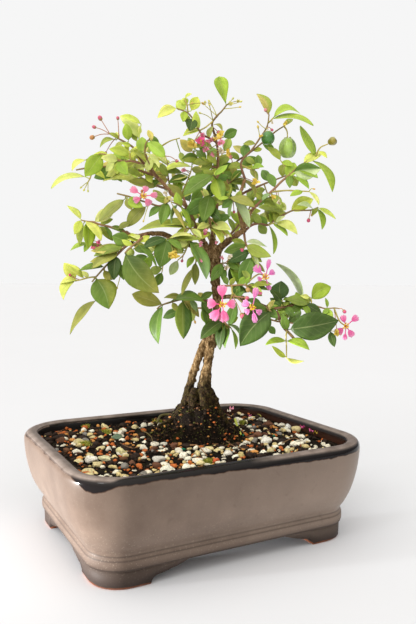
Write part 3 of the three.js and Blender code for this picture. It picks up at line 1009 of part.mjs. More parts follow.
// Wood, each piece of it a rod; grow makes every rod stouter, for the hole that it stands in.
function woodSolids(grow) {
  return WOOD.map(({ way, radii }) => rod(way.map(seen), radii.map((r) => r + grow),
    WOOD_SIDES[radii[0] > THICK_WOOD ? 0 : 1]));
}

// Larger stones on the soil: one in each cell of a grid, strayed from its middle, where there is room
// for it beside the mound and inside the wall.
function stoneSolids(mound, backwards) {
  const draw = seeded(7);
  const stones = [];
  const edge = innerInset(SOIL_LEVEL) + STONE_RADIUS + STONE_EDGE;
  const [spanX, spanY] = [POT_LENGTH / 2 - edge, POT_DEPTH / 2 - edge];
  const corner = POT_CORNER - edge * CORNER_SHRINK;
  const columns = Math.round(Math.sqrt(STONE_COUNT * spanX / spanY));
  const lines = Math.round(STONE_COUNT / columns);
  for (let cell = 0; cell < columns * lines; cell += 1) {
    const strayX = 0.5 + STONE_STRAY * (draw() - 0.5);
    const strayY = 0.5 + STONE_STRAY * (draw() - 0.5);
    const radius = STONE_RADIUS * (0.75 + 0.5 * draw());
    const turn = draw() * Math.PI;
    const x = spanX * (2 * (cell % columns + strayX) / columns - 1);
    const y = spanY * (2 * (Math.floor(cell / columns) + strayY) / lines - 1);
    const out = new THREE.Vector3(x - mound.x, y - mound.y, 0);
    const fromMound = Math.hypot(out.dot(level) / MOUND[0][0], out.dot(backwards) / MOUND[0][1]);
    const pastX = Math.max(Math.abs(x) - spanX + corner, 0);
    const pastY = Math.max(Math.abs(y) - spanY + corner, 0);
    const past = Math.hypot(pastX, pastY);
    if (fromMound > MOUND_MARGIN && past < corner) {
      const stone = new THREE.OctahedronGeometry(radius, 0);
      stone.scale(...STONE_SHAPE);
      stone.rotateZ(turn);
      stone.translate(x, y, SOIL_LEVEL - STONE_SINK * radius);
      stones.push(solidFrom(stone));
    }
  }
  return stones;
}

// The soil: a bed that fills the pot, the mound over the roots, the stones, and a hole round each
// buried piece of wood.
function soilSolid() {
  const bed = loft(SOIL_LEVELS.map((z) => potRing([innerInset(z) + SOIL_GAP, z])));
  const middle = seen(MOUND_PLACE);
  const backwards = new THREE.Vector3(away.x, away.y, 0).normalize();
  const mound = loft(MOUND.map(([halfWidth, halfDepth, z]) => {
    const ring = [];
    for (let i = 0; i < MOUND_SIDES; i += 1) {
      const turn = 2 * Math.PI * i / MOUND_SIDES;
      const ripple = MOUND_RIPPLES.reduce((sum, [count, depth, twist]) => (
        sum + depth * Math.sin(count * turn + z * twist)), 1);
      ring.push(new THREE.Vector3(middle.x, middle.y, z)
        .addScaledVector(level, halfWidth * ripple * Math.cos(turn))
        .addScaledVector(backwards, halfDepth * ripple * Math.sin(turn)));
    }
    return ring;
  }));
  const hole = joined(woodSolids(HOLE_CLEARANCE).slice(0, BURIED_WOOD));
  return mainBody(joined([bed, mound, ...stoneSolids(middle, backwards)]).subtract(hole));
}

const group = new THREE.Group();
group.name = 'barbados_cherry_bonsai';

const stubs = SPRAYS.map(({ stem, thick }) => {
  const way = stem.slice(0, 3).map(seen);
  const along = way[2].clone().sub(way[0]).normalize();
  return rod(way.slice(0, 2), [thick[0] * STUB_FLARE, thick[0]], TWIG_SIDES, null, along);
});
const trunk = joined([...woodSolids(0), ...stubs]);
const blooms = BLOOMS.map((bloom) => ({ bloom, ...bloomSolids(bloom) }));
const fruits = FRUITS.map((fruit) => ({ fruit, solid: fruitSolid(fruit) }));
const pot = potSolid();
const soil = soilSolid();

group.add(meshOf('pot', pot, POT_COLOUR, 0.3));
group.add(meshOf('soil', soil, SOIL_COLOUR, 0.95));
for (const [side, name] of [[-1, 'drain_screen_left'], [1, 'drain_screen_right']]) {
  group.add(meshOf(name, screenSolid(side), SCREEN_COLOUR, 0.6));
}
group.add(meshOf('trunk', trunk, BARK_COLOUR, 0.9));
const standing = [
  boxed('pot', pot),
  boxed('soil', soil),
  boxed('trunk', trunk),
  ...blooms.flatMap(({ bloom, petals, stamens }) => [
    boxed(bloom.name, petals),
    boxed(bloom.name, stamens),
  ]),
  ...fruits.map(({ fruit, solid }) => boxed(fruit.name, solid)),
];
growSprays(standing).forEach((mesh) => group.add(mesh));
for (const { bloom, petals, stamens } of blooms) {
  group.add(meshOf(`bloom_${bloom.name}_petals`, petals, PETAL_COLOUR, 0.6));
  group.add(meshOf(`bloom_${bloom.name}_stamens`, stamens, STAMEN_COLOUR, 0.6));
}
for (const { fruit, solid } of fruits) {
  group.add(meshOf(fruit.name, solid, fruit.colour, 0.35));
}

// The origin goes to the ground under the middle of the whole.
const centre = new THREE.Box3().setFromObject(group).getCenter(new THREE.Vector3());
group.children.forEach((mesh) => mesh.geometry.translate(-centre.x, -centre.y, 0));

export default group;
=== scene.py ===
"""Barbados cherry bonsai in a glazed pot: the looks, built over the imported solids."""
import math
import random

import bmesh
import bpy
import numpy as np
from mathutils import Matrix, Vector, noise


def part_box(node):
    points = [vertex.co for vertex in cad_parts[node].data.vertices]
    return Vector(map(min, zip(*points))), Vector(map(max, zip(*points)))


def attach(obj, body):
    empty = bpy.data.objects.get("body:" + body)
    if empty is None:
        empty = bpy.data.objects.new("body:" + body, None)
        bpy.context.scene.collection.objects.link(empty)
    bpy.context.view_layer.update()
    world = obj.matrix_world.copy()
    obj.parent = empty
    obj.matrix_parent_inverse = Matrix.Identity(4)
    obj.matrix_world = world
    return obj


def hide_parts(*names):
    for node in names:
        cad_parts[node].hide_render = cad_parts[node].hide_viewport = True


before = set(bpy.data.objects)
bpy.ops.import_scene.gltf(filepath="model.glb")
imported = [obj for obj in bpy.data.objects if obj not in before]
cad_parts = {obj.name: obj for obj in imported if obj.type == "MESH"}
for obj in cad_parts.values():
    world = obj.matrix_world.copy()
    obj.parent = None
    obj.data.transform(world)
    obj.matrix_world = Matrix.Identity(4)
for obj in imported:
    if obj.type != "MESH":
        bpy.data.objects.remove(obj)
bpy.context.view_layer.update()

# The crown is laid out as it is seen from one point. A place in it is [x, y, depth]: x to the right
# and y down in view units, depth in mm from the plane through the trunk towards the viewer. Lengths
# are in mm from the ground under the middle of the pot until a mesh is made, and in metres in looks.
MM = 0.001
POT_LOW, POT_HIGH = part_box("pot")
POT_PLACE = Vector(((POT_LOW.x + POT_HIGH.x) / 2, (POT_LOW.y + POT_HIGH.y) / 2, 0))
POT_MM = POT_PLACE / MM
EYE = Vector((-189.8, -377.3, 167.1))
VIEW_YAW = math.radians(-28.38)
VIEW_PITCH = math.radians(2.8)
VIEW_ROLL = math.radians(0.42)
VIEW_UNITS = 626.1
VIEW_SIZE = (416, 624)
TRUNK_DISTANCE = 444

AWAY = Vector((-math.sin(VIEW_YAW) * math.cos(VIEW_PITCH),
               math.cos(VIEW_YAW) * math.cos(VIEW_PITCH), -math.sin(VIEW_PITCH)))
LEVEL = AWAY.cross(Vector((0, 0, 1))).normalized()
RISE = LEVEL.cross(AWAY)
RIGHT = LEVEL * math.cos(VIEW_ROLL) + RISE * math.sin(VIEW_ROLL)
UP = RISE * math.cos(VIEW_ROLL) - LEVEL * math.sin(VIEW_ROLL)

# In both blocks below a line that starts with a space carries on the one before it.
# Wood of the trunk: name | places along it | its radius in mm at each place.
WOOD = """
left_stem | 184 414 0, 187.5 394 0, 191.4 380 0, 197.6 360 0, 203 346 0, 208 338 0 | 3.8 3.3 2.8 2.7 2.8 3
right_stem | 208 420 0, 206 400 0, 204.4 385 0, 207.3 366 0, 210 348 0, 212 338 0 | 7 6.6 4.9 3.1 3.5 4
root_left | 188 398 2, 181 408 5, 174 418 8, 164 423 12, 157 427 16 | 2.8 2.2 1.5 1.2 0.8
root_front_left | 195 388 2, 193 398 4, 192 409 8, 189 423 11, 186 437 12 | 2.2 3 2.4 1.5 0.9
root_front_right | 203 394 3, 205 408 8, 208 422 11, 212 437 12 | 3.4 2.6 1.6 0.9
root_right | 209 392 1, 216 404 4, 223 417 6, 236 432 7 | 3.4 2.6 1.6 0.9
root_back_right | 207 394 -3, 213 406 -9, 221 417 -13 | 3.8 2.6 1.4
root_back_left | 190 396 -3, 183 406 -9, 174 416 -13 | 3.4 2.4 1.3
trunk | 209.5 346 0, 215.5 326 0, 217 310 0, 216 288 0, 214.5 262 0, 213.5 252 0, 211 245 0
 | 5 3.4 3 2.9 4.6 5.4 3.4
limb_left_high | 208 249 0, 199 234 3, 195 226 4, 190 213 5, 183 203 7, 173 195 8, 163 183 9, 146 166 10
 | 2 1.6 1.4 1.4 1.4 1.3 1.3 1.1
limb_left_middle | 211 252 1, 197 247 5, 175 240 10, 165 234.5 12, 150 233.5 14, 136 236 15, 121 231 16
 | 2.8 2.3 1.9 1.7 1.5 1.3 1.1
limb_right | 212 255 0, 222 246 2, 237 234.5 4, 246 230 4 | 3.2 2.5 2.2 1.4
limb_right_high | 242 233 4, 242 226 5, 238 205 6, 240 195 5, 245 179 2 | 1.7 1.4 1.2 1.2 1.05
limb_right_bough | 243 232 4, 247 220 7, 252 210 8 | 1.4 1.3 1.2
leader | 212 250 -1, 213 236 -5, 215 220 -8, 217 200 -8, 218 180 -6, 218 160 -4, 218 150 -3
 | 2.4 1.9 1.7 1.5 1.3 1.1 1
limb_low_right | 216 297 0, 236 297 2, 250 300 3, 264 306.5 3, 276 311 4 | 1.7 1.4 1.4 1.4 1.35
"""

# Shoots. spray: name, the stem's radius in mm at its foot and at its end. stem and twig: places along
# them; a stem's first place lies inside the wood. leaves: x and y of the foot and of the tip, the
# width seen, how far the tip comes forward in mm; where they aren't 1 and 0, the side seen (1 upper,
# -1 lower) and how far the middle bows; for a few, the lean and fullness of the outline; letters of
# TONES. buds: x and y of the foot and of the bud, its size. tufts: x, y, size, a letter of TUFT_TONES.
SPRAYS = """
spray spray_high_left 0.95 0.5
stem 146 166 10, 141 160 11, 136 151 12, 132 146.5 13, 125 142 14, 119 139 15, 110 134 16
twig 136 151 12, 139 145 11, 139 139 11
leaves 116.5 140 100 147.5 4.5 5 1 2.5 M, 119.5 138 116 132 4 -2 P, 128.5 141 126 123 10 4 G,
 139 139 120 116 11 -5 1 1 P, 139 135 139.5 126 4 -2 P, 141 124 121 115.5 6 3 L, 137 142 131 132 6 -3 M,
 119 140 109 133 4 3 M
buds 110 134 100 118 5, 110 134 94 127 4, 110 134 92 137.5 5, 119 139 117.8 118 3.5, 116 138 105.5 153 3
spray spray_left_fork 0.85 0.45
stem 150 170 9, 140 163.5 17, 131 161 20, 124 161.5 21, 117 160 22, 109 156 22, 102 154 21, 94 156 20, 86 160 19
twig 131 161 20, 130 156 21, 129 151.5 21
leaves 130 155 109 149 10 5 1 1.5 L, 118 160.5 101 158 9 8 1 1 P, 102 154 85 176.5 17 4 G,
 86 160 72 171 6 3 1 2.5 Y, 118 162 128 175 12 5 G, 129 152 138 149 4 2 -1 0 Y, 133 150 146 162 6 4 M,
 131 159 113 154 7 -2 G, 110 157 92 156 8 -4 L, 124 162 112 168 7 -5 M, 146 167 158 165 7 3 M
spray spray_left_arm 0.9 0.55
stem 156 176 8, 143 171.5 3, 131 169 2, 117 167.5 1, 107 166.5 1, 98 167 2, 84 168.5 3, 76 170 3
twig 92 167.5 3, 90.5 177 6, 88 182 8
leaves 86 177 51 188.5 6.5 6 1 3 Y, 118 169 94 178 13 -6 D, 140 183 103 181 7 -4 1 1 P, 134 169 141 161 7 -6 Y,
 108 168 122 182 8 -9 D, 157 187 128 181 9 5 1 -1 O, 147 174 152 183 7 4 L, 168 176 155 162 8 8 M,
 125 168 141 176 7 3 M, 141 186 128 178 6 -4 G, 160 181 143 189 7 -3 D
buds 88 182 81 187.5 2, 88 182 84 190 2, 88 182 88 191 2, 98 167 93 173 2
spray spray_left_crest 0.85 0.5
stem 159 179 8, 154 172 17, 148 161 23, 145 152 25, 146 143 26, 150 139 26
leaves 142 153 142 137 12 -4 G, 147 142 165 157 12 5 1 1 1.2 0.6 G, 145 153 159 168 5 7 P,
 147 171 152 156 8 5 P, 152 141 148 130 6 -3 B
spray spray_left_second 0.85 0.45
stem 188 209 5, 184 199 -4, 182 193 -7, 176 189 -8, 170 185 -9, 168 176 -10, 168 166 -10, 165 156 -10,
 160 147 -9
twig 182 193 -7, 186 184 -8, 190 174 -8, 192 167 -8
twig 160 147 -9, 170 141 -8, 180 138 -8
leaves 168 165 152 150 6 4 P, 160 147 149 135.5 8 -2 D, 192 167 163 172 6 5 1 2 L, 170 179 152 182 9 3 B,
 188 176 170 181 5 2 P, 186 184 174 189 6 -7 P, 183 173 160 171 7 3 M, 190 178 168 183 8 3 D,
 184 200 167 184 8 6 O, 183 192 164 190 6 -3 M, 192 163 212 163 8 5 M, 190 169 203 170 7 4 O,
 180 152 184 163 6 2 M
buds 190 174 183.5 170 4, 165 156 177 161 3.5
tufts 183.5 170 4 R, 177 161 3 R
spray spray_left_inner 0.8 0.55
stem 177 198.5 7, 169 201 16, 160 206 18, 149 203 19, 139 200 19, 129 196.5 19, 117 193.5 19
twig 139 200 19, 141 198 21, 143.5 196 23
leaves 127 199 143 207 11 5 G, 168 201 160 196 5 -3 -1 0 P, 168 203 161 224.5 12 5 D,
 147 206 127 227 13 -5 1 1 O, 125 199 99 221 11 3 1 -1 O, 163 204 172 196 5 3 B, 126 198 132 210 8 2 O,
 160 206 149 217 7 4 D, 169 201 156 198 7 3 M, 165 203 153 190 9 -3 O
buds 149 203 143.5 221 2, 139 200 142 191 3
tufts 166 193 4 C, 172 200 3 C
spray spray_left_fall 0.7 0.45
stem 187 208 5, 184 209 13, 181 207 17, 177 204 20, 171 202 21
leaves 170 202 185 229 4 6 1 -3 B, 181 206 190 228 5 4 G, 177 205 172 224 4 6 -1 0 T, 183 209 189 221 7 3 D
spray spray_left_shelf 0.75 0.5
stem 197 229 4, 191 228.5 12, 187 228 16
leaves 187 228.5 139 230 9 8 1 1 L, 188 227 168 224 5 -4 O, 193 229 160 226 7 3 1 2 L, 191 229 202 239 6 4 P,
 190 229 175 237 6 4 L
buds 190 228 195 236 4, 187 228 183 234 3
spray spray_top_left 0.8 0.45
stem 216 142 -3, 209 138 4, 202 134 8, 197 127 9, 193 119 10, 188 113 10, 184 111 11, 176 108 12
twig 188 113 10, 187 105 11, 184.5 99 12
twig 199 131 6, 206 127 5, 213 121 3
leaves 177 108 157.5 118 10 4 1 2 P, 186 110 176.5 101 11 -3 L, 185 99 192 94 3 3 1 1 Y, 191 111 198 97 11 -3 L,
 185 111 183 122 8 4 G, 192 119 190 131 12 4 V, 198 130 184 134 5 2 1 1 P, 199 130 196 111 8 2 1 -2 L,
 190 124 184 114 7 1 M, 199 131 183 136 6 3 1 1 L, 186 106 183 98 8 -1 L
buds 202 134 200 141 7, 200 131 192 144 6, 187 105 192 103 2
tufts 192 144 7.5 E, 201.5 141 8 K, 202.5 135 4 R, 205 103 3 F, 209 104 3 F
spray spray_top 0.95 0.5
stem 218 150 -3, 215 136 -2, 212 124 0, 217 116 1, 222 111 2, 226.5 105 3
twig 215 134 -2, 219 136 -4, 223 137.5 -5
leaves 226 105 219 76.5 14 -4 1 -1 1.75 0.62 G, 211 126 209 139 5.5 4 O, 213 125 222.5 131 3 3 1 2 O,
 223 137.5 237 130 10 -4 D
buds 226.5 105 233 98.5 2, 226.5 105 241 101.5 2, 224 109 240 107 2, 217 116 209 101 2, 217 116 203 103.5 2.5,
 214 121 200 113 2, 213 127 219 133 5
tufts 231 103 4 F, 238 101 3 F, 219.5 134 7 E, 215.5 138.5 4 E, 211.5 139.5 3.5 R
spray spray_top_inner 0.8 0.5
stem 218 168 -6, 208 165 -9, 199 160 -10, 193 152 -10
twig 208 165 -9, 208 157 -5, 207 151 -3
leaves 193 152 180 139.5 10 3 B, 198 160 181 160 10 4 1 2 DM, 207 152 199 147 6 2 D, 197 150 206 162 8 6 D,
 208 153 216 165 8 6 M, 204 140 196 148 8 5 O, 199 143 212 147 6 5 M, 213 163 200 170 8 4 M,
 213 169 222 158 7 3 G, 218 163 231 155 9 2 M, 221 168 231 163 6 2 D
buds 207 152 211 140 4, 208 157 213 155 4
tufts 205.5 149.5 5 R, 213 154.5 3.5 R, 208 141.5 4 R, 222 150.5 6 C, 221 143 6 R, 231.5 157 3.5 R,
 228 152.5 6.5 E
spray spray_right_crown 0.95 0.45
stem 245 179 2, 242 170 2, 241 163 1, 245 157 1, 251 151 1, 256 144 1, 260 138 1, 266 129 2, 268 123 3,
 269 115 3
twig 241 165 1, 250 169 5, 259 168 6
twig 268 123 3, 270.5 121 4, 273 118 5
twig 266 129 2, 267 128.5 7, 268 129 12
leaves 243 158 246 144 10 -5 D, 269 115 256.5 94 10 -4 1 2.5 MB, 272 118 300 113.5 7 -4 1 5 G,
 273 119.5 313.5 125.5 6 6 1 2 G, 259 168 258 155 8 -4 D, 251 169 264 167 5 6 1 1 G, 241 165 256 157 9 -3 D,
 240 163 228 168 6 -3 M, 243 170 232 178 7 -4 D, 256 144 243 144 5 -3 M, 250 170 258 180 6 3 O,
 245 158 256 165 6 2 M
buds 269 115 265.5 110 3.5, 260 138 258 127 2.5, 266 129 258 122 2, 267 127 272 130 3
tufts 256 182 6 E, 261 136 3 E, 272 122 3 C
spray spray_right_crest 0.85 0.5
stem 218 172 -6, 223 170 -13, 228 169 -14, 233 165 -14, 240 159 -13, 247 155 -12, 252 151 -12, 262 143 -10,
 275 132 -8, 284 126 -6
twig 284 126 -6, 287 131 -3, 287.5 137 -2
leaves 284 126 293 119 5 -3 M, 247 155 233 146 7 -3 B, 240 159 228 153 6 4 M, 262 143 275 152 7 -5 D,
 252 151 262 149 5 -3 L, 228 169 220 178 8 4 D, 233 165 222 172 7 3 M
buds 284 126 289 121 2, 233 165 231 157 4
tufts 285 123 4 E
spray spray_right_bough 1 0.5
stem 252 210 8, 262 200 11, 271 192 12, 276 187 12, 282 181 12, 290 174.5 11, 297 168 10, 302 164.5 9,
 307 161.5 8, 311 160.5 7, 315 158 7
twig 290 174.5 11, 286 168 9, 281 161 8
twig 271 192 12, 286 190.5 15, 299 191 17, 309 191.5 18
twig 315 158 7, 318 151 7, 321 147 7, 328 144 7
leaves 315 156 300 126 9 -5 1 -3.5 G, 303 164 322 153.5 9 -6 Y, 285 177 295 163 13 -5 G,
 293 172 321 168.5 17 7 1 -1 DW, 312 161 332.5 192 8 8 1 2.5 G, 290 176 290 188 8 6 D, 292 176 309 189 5 9 G,
 281 161 267.5 147 7 -2 M, 275 188 268 173 8.5 -5 D, 271 194 262 201 4.5 4 T, 272 194 281 209 8 6 M,
 309 191.5 319 205 4 3 P, 297 168 318 178 8 8 G, 281 162 294 166 6 4 G, 262 200 285 207 10 -4 M,
 266 196 254 206 8 -3 D, 262 199 256 193 7 3 M, 318 151 327 158 4 3 L, 303 191 290 196 6 4 G
buds 309 191.5 314 189 2, 271 193 273 199 3, 276 189 279 202 3
tufts 273 197 4 E, 279 202 3.5 C
spray spray_right_arm 0.9 0.5
stem 246 230 4, 252 225 4, 260 223.5 3, 268 225 2, 276 219 1, 287 213 0, 293 210.5 0, 299 210.5 0, 311 210 0,
 318 207.5 0
twig 268 225 2, 272 223.5 4, 275 223 5
leaves 290 211 313 199 14 -5 1 1.5 L, 313 209 297 205 4.5 4 1 1 W, 318 208 335.5 219 4.5 4 1 -1 L,
 317 208 322 229.5 6 5 1 1 G, 287 213 265 219 12 -5 Y, 275 223 297.5 234.5 9 6 1 2 P, 275 223 285 216.5 4 6 W,
 273 224 287.5 236 5 9 G, 269 225 273.5 254 5 4 G, 262 223 252 213 7 3 M, 285 212 258 207 9 -2 M,
 268 225 256 216 6 -3 D, 318 208 312 216 5 3 M
buds 311 210 308.5 220.5 4, 313 209.5 312 215 3
spray spray_heart_upper 0.85 0.6
stem 218 182 -6, 216 179 6, 214.5 176.5 14, 213.5 175 20
leaves 213 175 183 196 14 6 D, 216 177 222 201.5 15 8 DG, 215 181 208 198 11 -4 V, 217 180 228 176 8 -3 D,
 214 176 203 171 8 5 M, 218 181 230 190 8 -4 O
spray spray_heart_low 0.9 0.5
stem 214 236 -5, 211 228 4, 209 217 8, 208 206 10, 210 194 11
leaves 211 193 203 222 17 5 D, 208 198 185 214 15 -3 D, 208 207 221 220 10 5 V, 210 226 231 230 9 9 1 1 P,
 210 224 197 229 7 7 P, 211 230 221 243 5 9 L, 209 217 198 222 10 -2 V, 210 226 231 215 9 -4 D,
 211 229 232 237 8 5 L, 211 232 196 240 7 4 L, 210 225 194 232 8 -3 M
buds 210 226 205 234 4, 209 217 227 236 3
tufts 227 236.5 4 C, 206 231 4 R, 217 243 3 R
spray spray_heart_right 0.8 0.5
stem 238.5 204 6, 235.5 202 14, 232 199 18, 229 197 20
leaves 229 197 255 207 9 7 O, 233 201 250 228 9 8 -1 0 W, 233 200 230 217 4 6 T, 232 199 222 208 8 -2 D,
 233 201 221 192 9 -2 D, 236 202 247 196 7 2 O
buds 233 200 234 212 3
spray spray_heart_top 0.85 0.5
stem 217.5 190 -7, 223 186.5 -3, 228 184 -3, 234 179 -5, 239 176 -7
leaves 230 182 241 171 4 5 O, 235 179 257 200 4 -7 1 3 O, 228 184 236 192 5 -6 D, 230 183 226 200 9 3 M,
 234 179 223 172 8 -3 D
buds 239 176 255 182 5, 228 184 226 177 3
spray spray_left_end 0.9 0.45
stem 121 231 16, 110 227 18, 98 224 19, 94 222 19, 87 221.5 19, 81 220 19
twig 92 222 19, 91 234 15, 90 245 13
leaves 80 220 67 205.5 6 -4 Y, 94 221 115 208 12 -5 P, 81 221 74.5 234.5 9 4 L, 85 222 101 241 9 8 1 1 Y,
 87 223 88 249 12 5 G, 90 244 70.5 250.5 4.5 3 1 1 G, 91 243 104 252 8 -5 B, 104 226 111 239 4 4 D,
 110 227 126 232 5 -4 D, 98 226 113 241 8 -3 M, 84 223 80 246 7 -4 M, 92 240 84 252 6 2 G, 93 243 106 254 8 3 O,
 100 224 113 219 6 -3 M, 118 229 131 222 6 -3 O
buds 91 240 98 246 3
tufts 98.5 242 3.5 K, 93 247.5 3 K
spray spray_left_middle 0.85 0.6
stem 173 239.5 10, 170 238.5 18, 167.5 239 23
leaves 168 239 142 249 9 6 1 1 V, 167 240 160 267.5 20 2 D, 169 238.5 192 236 4.5 4 1 1 P,
 172 239 200 240 7 3 M, 168 240 176 258 9 -2 O, 168 240 182 250 7 4 D
buds 169 239.5 173.5 254 7
tufts 173.5 254.5 8 E
spray spray_left_low 1 0.5
stem 138 236 15, 132 242 21, 125 247 23, 118 254 24, 110 262 24, 104 268 24, 96 277 23, 92 282 23
twig 96 277 23, 89 277.5 25, 80 280 26, 75 281 26
twig 104 268 24, 105 280 15, 101 291 12, 97 300 11
twig 110 262 24, 117 268 20, 121 273 18
leaves 131 243 112 236 15 -5 D, 118 253 92 268 10 7 O, 104 266 78.5 271 6 3 D, 124 247 91 251 10 1 1 -2 B,
 96 279 109 309 26 6 1 3 MD, 97 299 70 334.5 8 4 1 -1 O, 121 272 104 277 10 -6 O, 117 256 114 280 14 6 1 1 V,
 75 280 64 263 12 -3 1 1 Y, 89 277 82 271 5 4 P, 76 281 63.5 300 9 4 1 5 Y, 124 248 94 256 9 3 M,
 112 261 90 262 8 4 O, 84 278 66 264 7 3 Y, 78 281 60 284 6 3 1 2 Y, 117 262 124 280 9 3 D,
 105 270 110 282 7 2 O, 97 279 114 300 12 -2 O, 132 243 150 254 8 -4 D, 118 254 104 245 7 -3 O
buds 80 280 70 275 3, 121 273 117 288 2
spray spray_left_hanging 0.9 0.55
stem 147 234 14, 142 238 24, 136 243 31, 130 248 34, 125 253 35
twig 142 238 24, 137 246 24, 133.6 249 25.5
leaves 124 254 159 293 27 4 1 -4 VDO, 136 244 157 268 4 3 D, 126 252 124 278 9 -3 M, 133 249 152 252 8 3 D,
 140 243 150 236 6 -3 L
spray spray_centre_hanging 0.85 0.6
stem 194 246.5 5, 191 243 16, 189 240 21
twig 189.5 240.5 20, 194 252 15, 196 261 13, 194 268 12
twig 189.5 240.5 20, 184 254 14, 178 260 12
leaves 189 240 206.5 279 13 5 1 1 DDT, 196 262 195 285 8 4 1 -2 O, 194 267 182 295 7 3 1 -2 O,
 178 260 170 275 9 4 -1 0 W, 190 243 197 262 7 3 L, 194 256 187 268 6 3 G, 184 253 170 249 6 3 P,
 191 243 202 250 6 -3 M
buds 192 247 200 245 4, 196 261 200.5 260 4, 184 254 182 261 3
tufts 201 244 4 R, 200.5 260 4 R
spray spray_low_left 1 0.5
stem 214 300 0, 207 300.5 4, 200 300 6, 185 299 8, 175 301 9, 162 305 10, 157 309 10
leaves 163 304 132 294 15 3 1 0 1.1 0.7 O, 168 302 205 303 9 12 1 3 D, 163 305 158.5 344 12 4 1 1.5 D,
 183 300 183.5 339 17 4 1 -1.5 DM, 182 299 199 317 9 -6 B, 201 301 209 332 11 5 D, 206 300 198 293 7 -4 B,
 184 300 164 298 6 4 1 1 O, 200 300 213 292 7 -3 D, 172 302 178 312 6 3 O, 201 301 212 316 8 3 D,
 190 300 197 312 6 2 T
buds 190 299 195 322 2.5
spray spray_low_centre 0.8 0.5
stem 217 316 0, 221 319 8, 226 324 12, 231 328 13
leaves 222 322 200.5 339 13 4 V, 224 323 220 350 10 3 V, 229 328 225 348 6.5 4 D, 231 329 235.5 349 4 3 G,
 227 325 240 335 4 5 1 2 T, 228 325 238 317 6 -3 L, 230 326 236 303 11 -4 D, 222 321 228 336 7 3 M,
 229 328 222 342 6 -2 O, 219 319 214 334 6 5 D
spray spray_right_shoulder 0.85 0.5
stem 244 233 4, 245 240 9, 246 244 10, 249 250 11, 252 257 11, 251 264 11
leaves 247 244 271 256.5 12 6 1 -3 M, 246 242 267 247 5 -6 W, 251 257 240 284 15 4 D,
 250 254 258 268 6 7 -1 0 W, 251 262 265 272 5 -4 O, 251 264 249 283 7 -6 O, 247 245 224 252 11 -2 D,
 249 251 228 262 12 3 V, 250 254 262 262 7 3 M, 246 244 232 240 7 -3 M, 251 260 240 268 8 -3 O
buds 247 245 241.5 250.5 5
spray spray_trunk_side 0.7 0.45
stem 214 266 0, 219 264 8, 225 263 9, 231 265 9
leaves 223 264 211 281 11 4 D, 226 263 240 271 6 5 D, 231 265 230 282 7 -3 V, 219 265 224 282 8 4 D,
 231 265 246 272 9 3 M, 226 264 240 256 9 -2 D, 231 266 238 284 8 3 G
buds 225 263 230 257 3, 222 264 226 269 3
tufts 230 257 4 C, 226.5 267 4 C, 222 258 3 R
spray spray_of_bloom 0.8 0.5
stem 217 286 0, 224 286 12, 232 285.5 18, 239 285 20, 245 285 20, 252 286 20
twig 232 285.5 18, 232 291 20, 232.5 296 21
twig 232.3 294 20.6, 229 302 23, 222.5 304.5 24
twig 232.1 292.5 20.3, 243 303 20, 252.5 307.5 23
twig 245 285 20, 254 277 15, 260 274 11.5, 265.5 277 15
leaves 252 286 268 290 5 -3 D, 251 286 262 292 4 3 L, 237 285 238 297 4 -5 Y, 240 286 233 298 8 -4 D,
 245 286 262 296 9 -5 M, 228 286 224 276 6 -3 D, 252 286 272 284 6 -4 M, 238 285 247 277 7 -4 G
buds 245 285 248 290 5, 232.5 296 247 298 4.5, 252 286 260 293 4.5, 233 297 242.5 316 6
spray spray_right_front 0.95 0.6
stem 261 305 3, 266 308 13, 271 311.5 19
twig 266 308 13, 267 318 9, 268 325 7
leaves 271 312 240 346 28 6 1 3 VV, 268 325 275 334 7 -3 D, 268 310 275 300 5 5 B, 268 310 242 318 16 4 1 3 D,
 266 308 278 318 9 3 D, 262 305 248 299 7 -3 D
spray spray_right_hanging 1.2 0.9
stem 276 311 4, 283 326 5, 287 331 5, 291 335 5, 297 342 5
twig 287 331 5, 286 336 8, 286.5 347 8, 286.5 358 8
leaves 288 329.5 338.5 320.5 28 5 1 -1 VV, 286.5 341 265.5 345 6.5 5 1 1 G, 286.5 341 309.5 350 8.5 7 1 2 G,
 286 357 272 346 5.5 4 1 -3 L, 287 358 304 361 4.5 4 1 -3.5 P, 288 330 283 314 9 4 D
spray spray_right_low 0.9 0.4
stem 270 308.5 3, 277 308 -4, 288 306 -8, 300 303.5 -9, 311 304.5 -9, 318 306.5 -9, 325 308.5 -8, 334 308 -8,
 339 308.5 -7
twig 325 308.5 -8, 328 320 -8, 330 331 -8
twig 334 308 -8, 339.5 321 -4, 346 326 -2
twig 311 304.5 -9, 311.5 301 -10, 310 298 -10
twig 282 307 -6, 281.5 303 -5, 282 300 -5
leaves 304 304 322 314 9 3 V, 282 300 281 281 19 -3 1 -2 V, 309 304 285 299 10 4 M,
 303 303 276 263.5 8 -7 -1 1 W, 310 300 331 287 16 -4 1 3 G, 310 298 300.5 295.5 5 3 P,
 327 308 325.5 298 3.5 -3 G, 330 331 334.5 347 8 2 V, 326 309 333 318 5.5 4 G, 303 304.5 309 317 6 6 G,
 286 307 294 317 8 5 D, 289 306 272 306 10 -6 M, 283 307 270 298 9 3 D, 281 301 272 290 8 4 V,
 300 303 296 292 7 -3 G, 303 305 290 312 8 3 D, 296 304 283 310 9 -3 M, 330 309 322 315 5 3 G
buds 339 308.5 344.5 311.6 4, 334 308 337 332 6
tufts 337 332.7 5 E
spray spray_back_heart 1.1 0.5
stem 212 250 -3, 211 243 -16, 206 232 -28, 198 216 -36, 190 202 -40
twig 206 232 -28, 212 220 -38, 216 208 -44
leaves 190 202 184 190 9 -8 V, 191 204 203 188 11 -5 D, 198 216 185 222 9 -9 D, 200 220 214 226 9 -3 P,
 216 208 222 192 11 -5 M, 214 214 202 204 10 -10 D, 206 232 199 242 7 -10 B
spray spray_back_right 1.1 0.5
stem 224 244 1, 229 236 -13, 238 226 -24, 246 214 -31, 252 203 -34
twig 238 226 -24, 250 226 -34, 262 222 -40
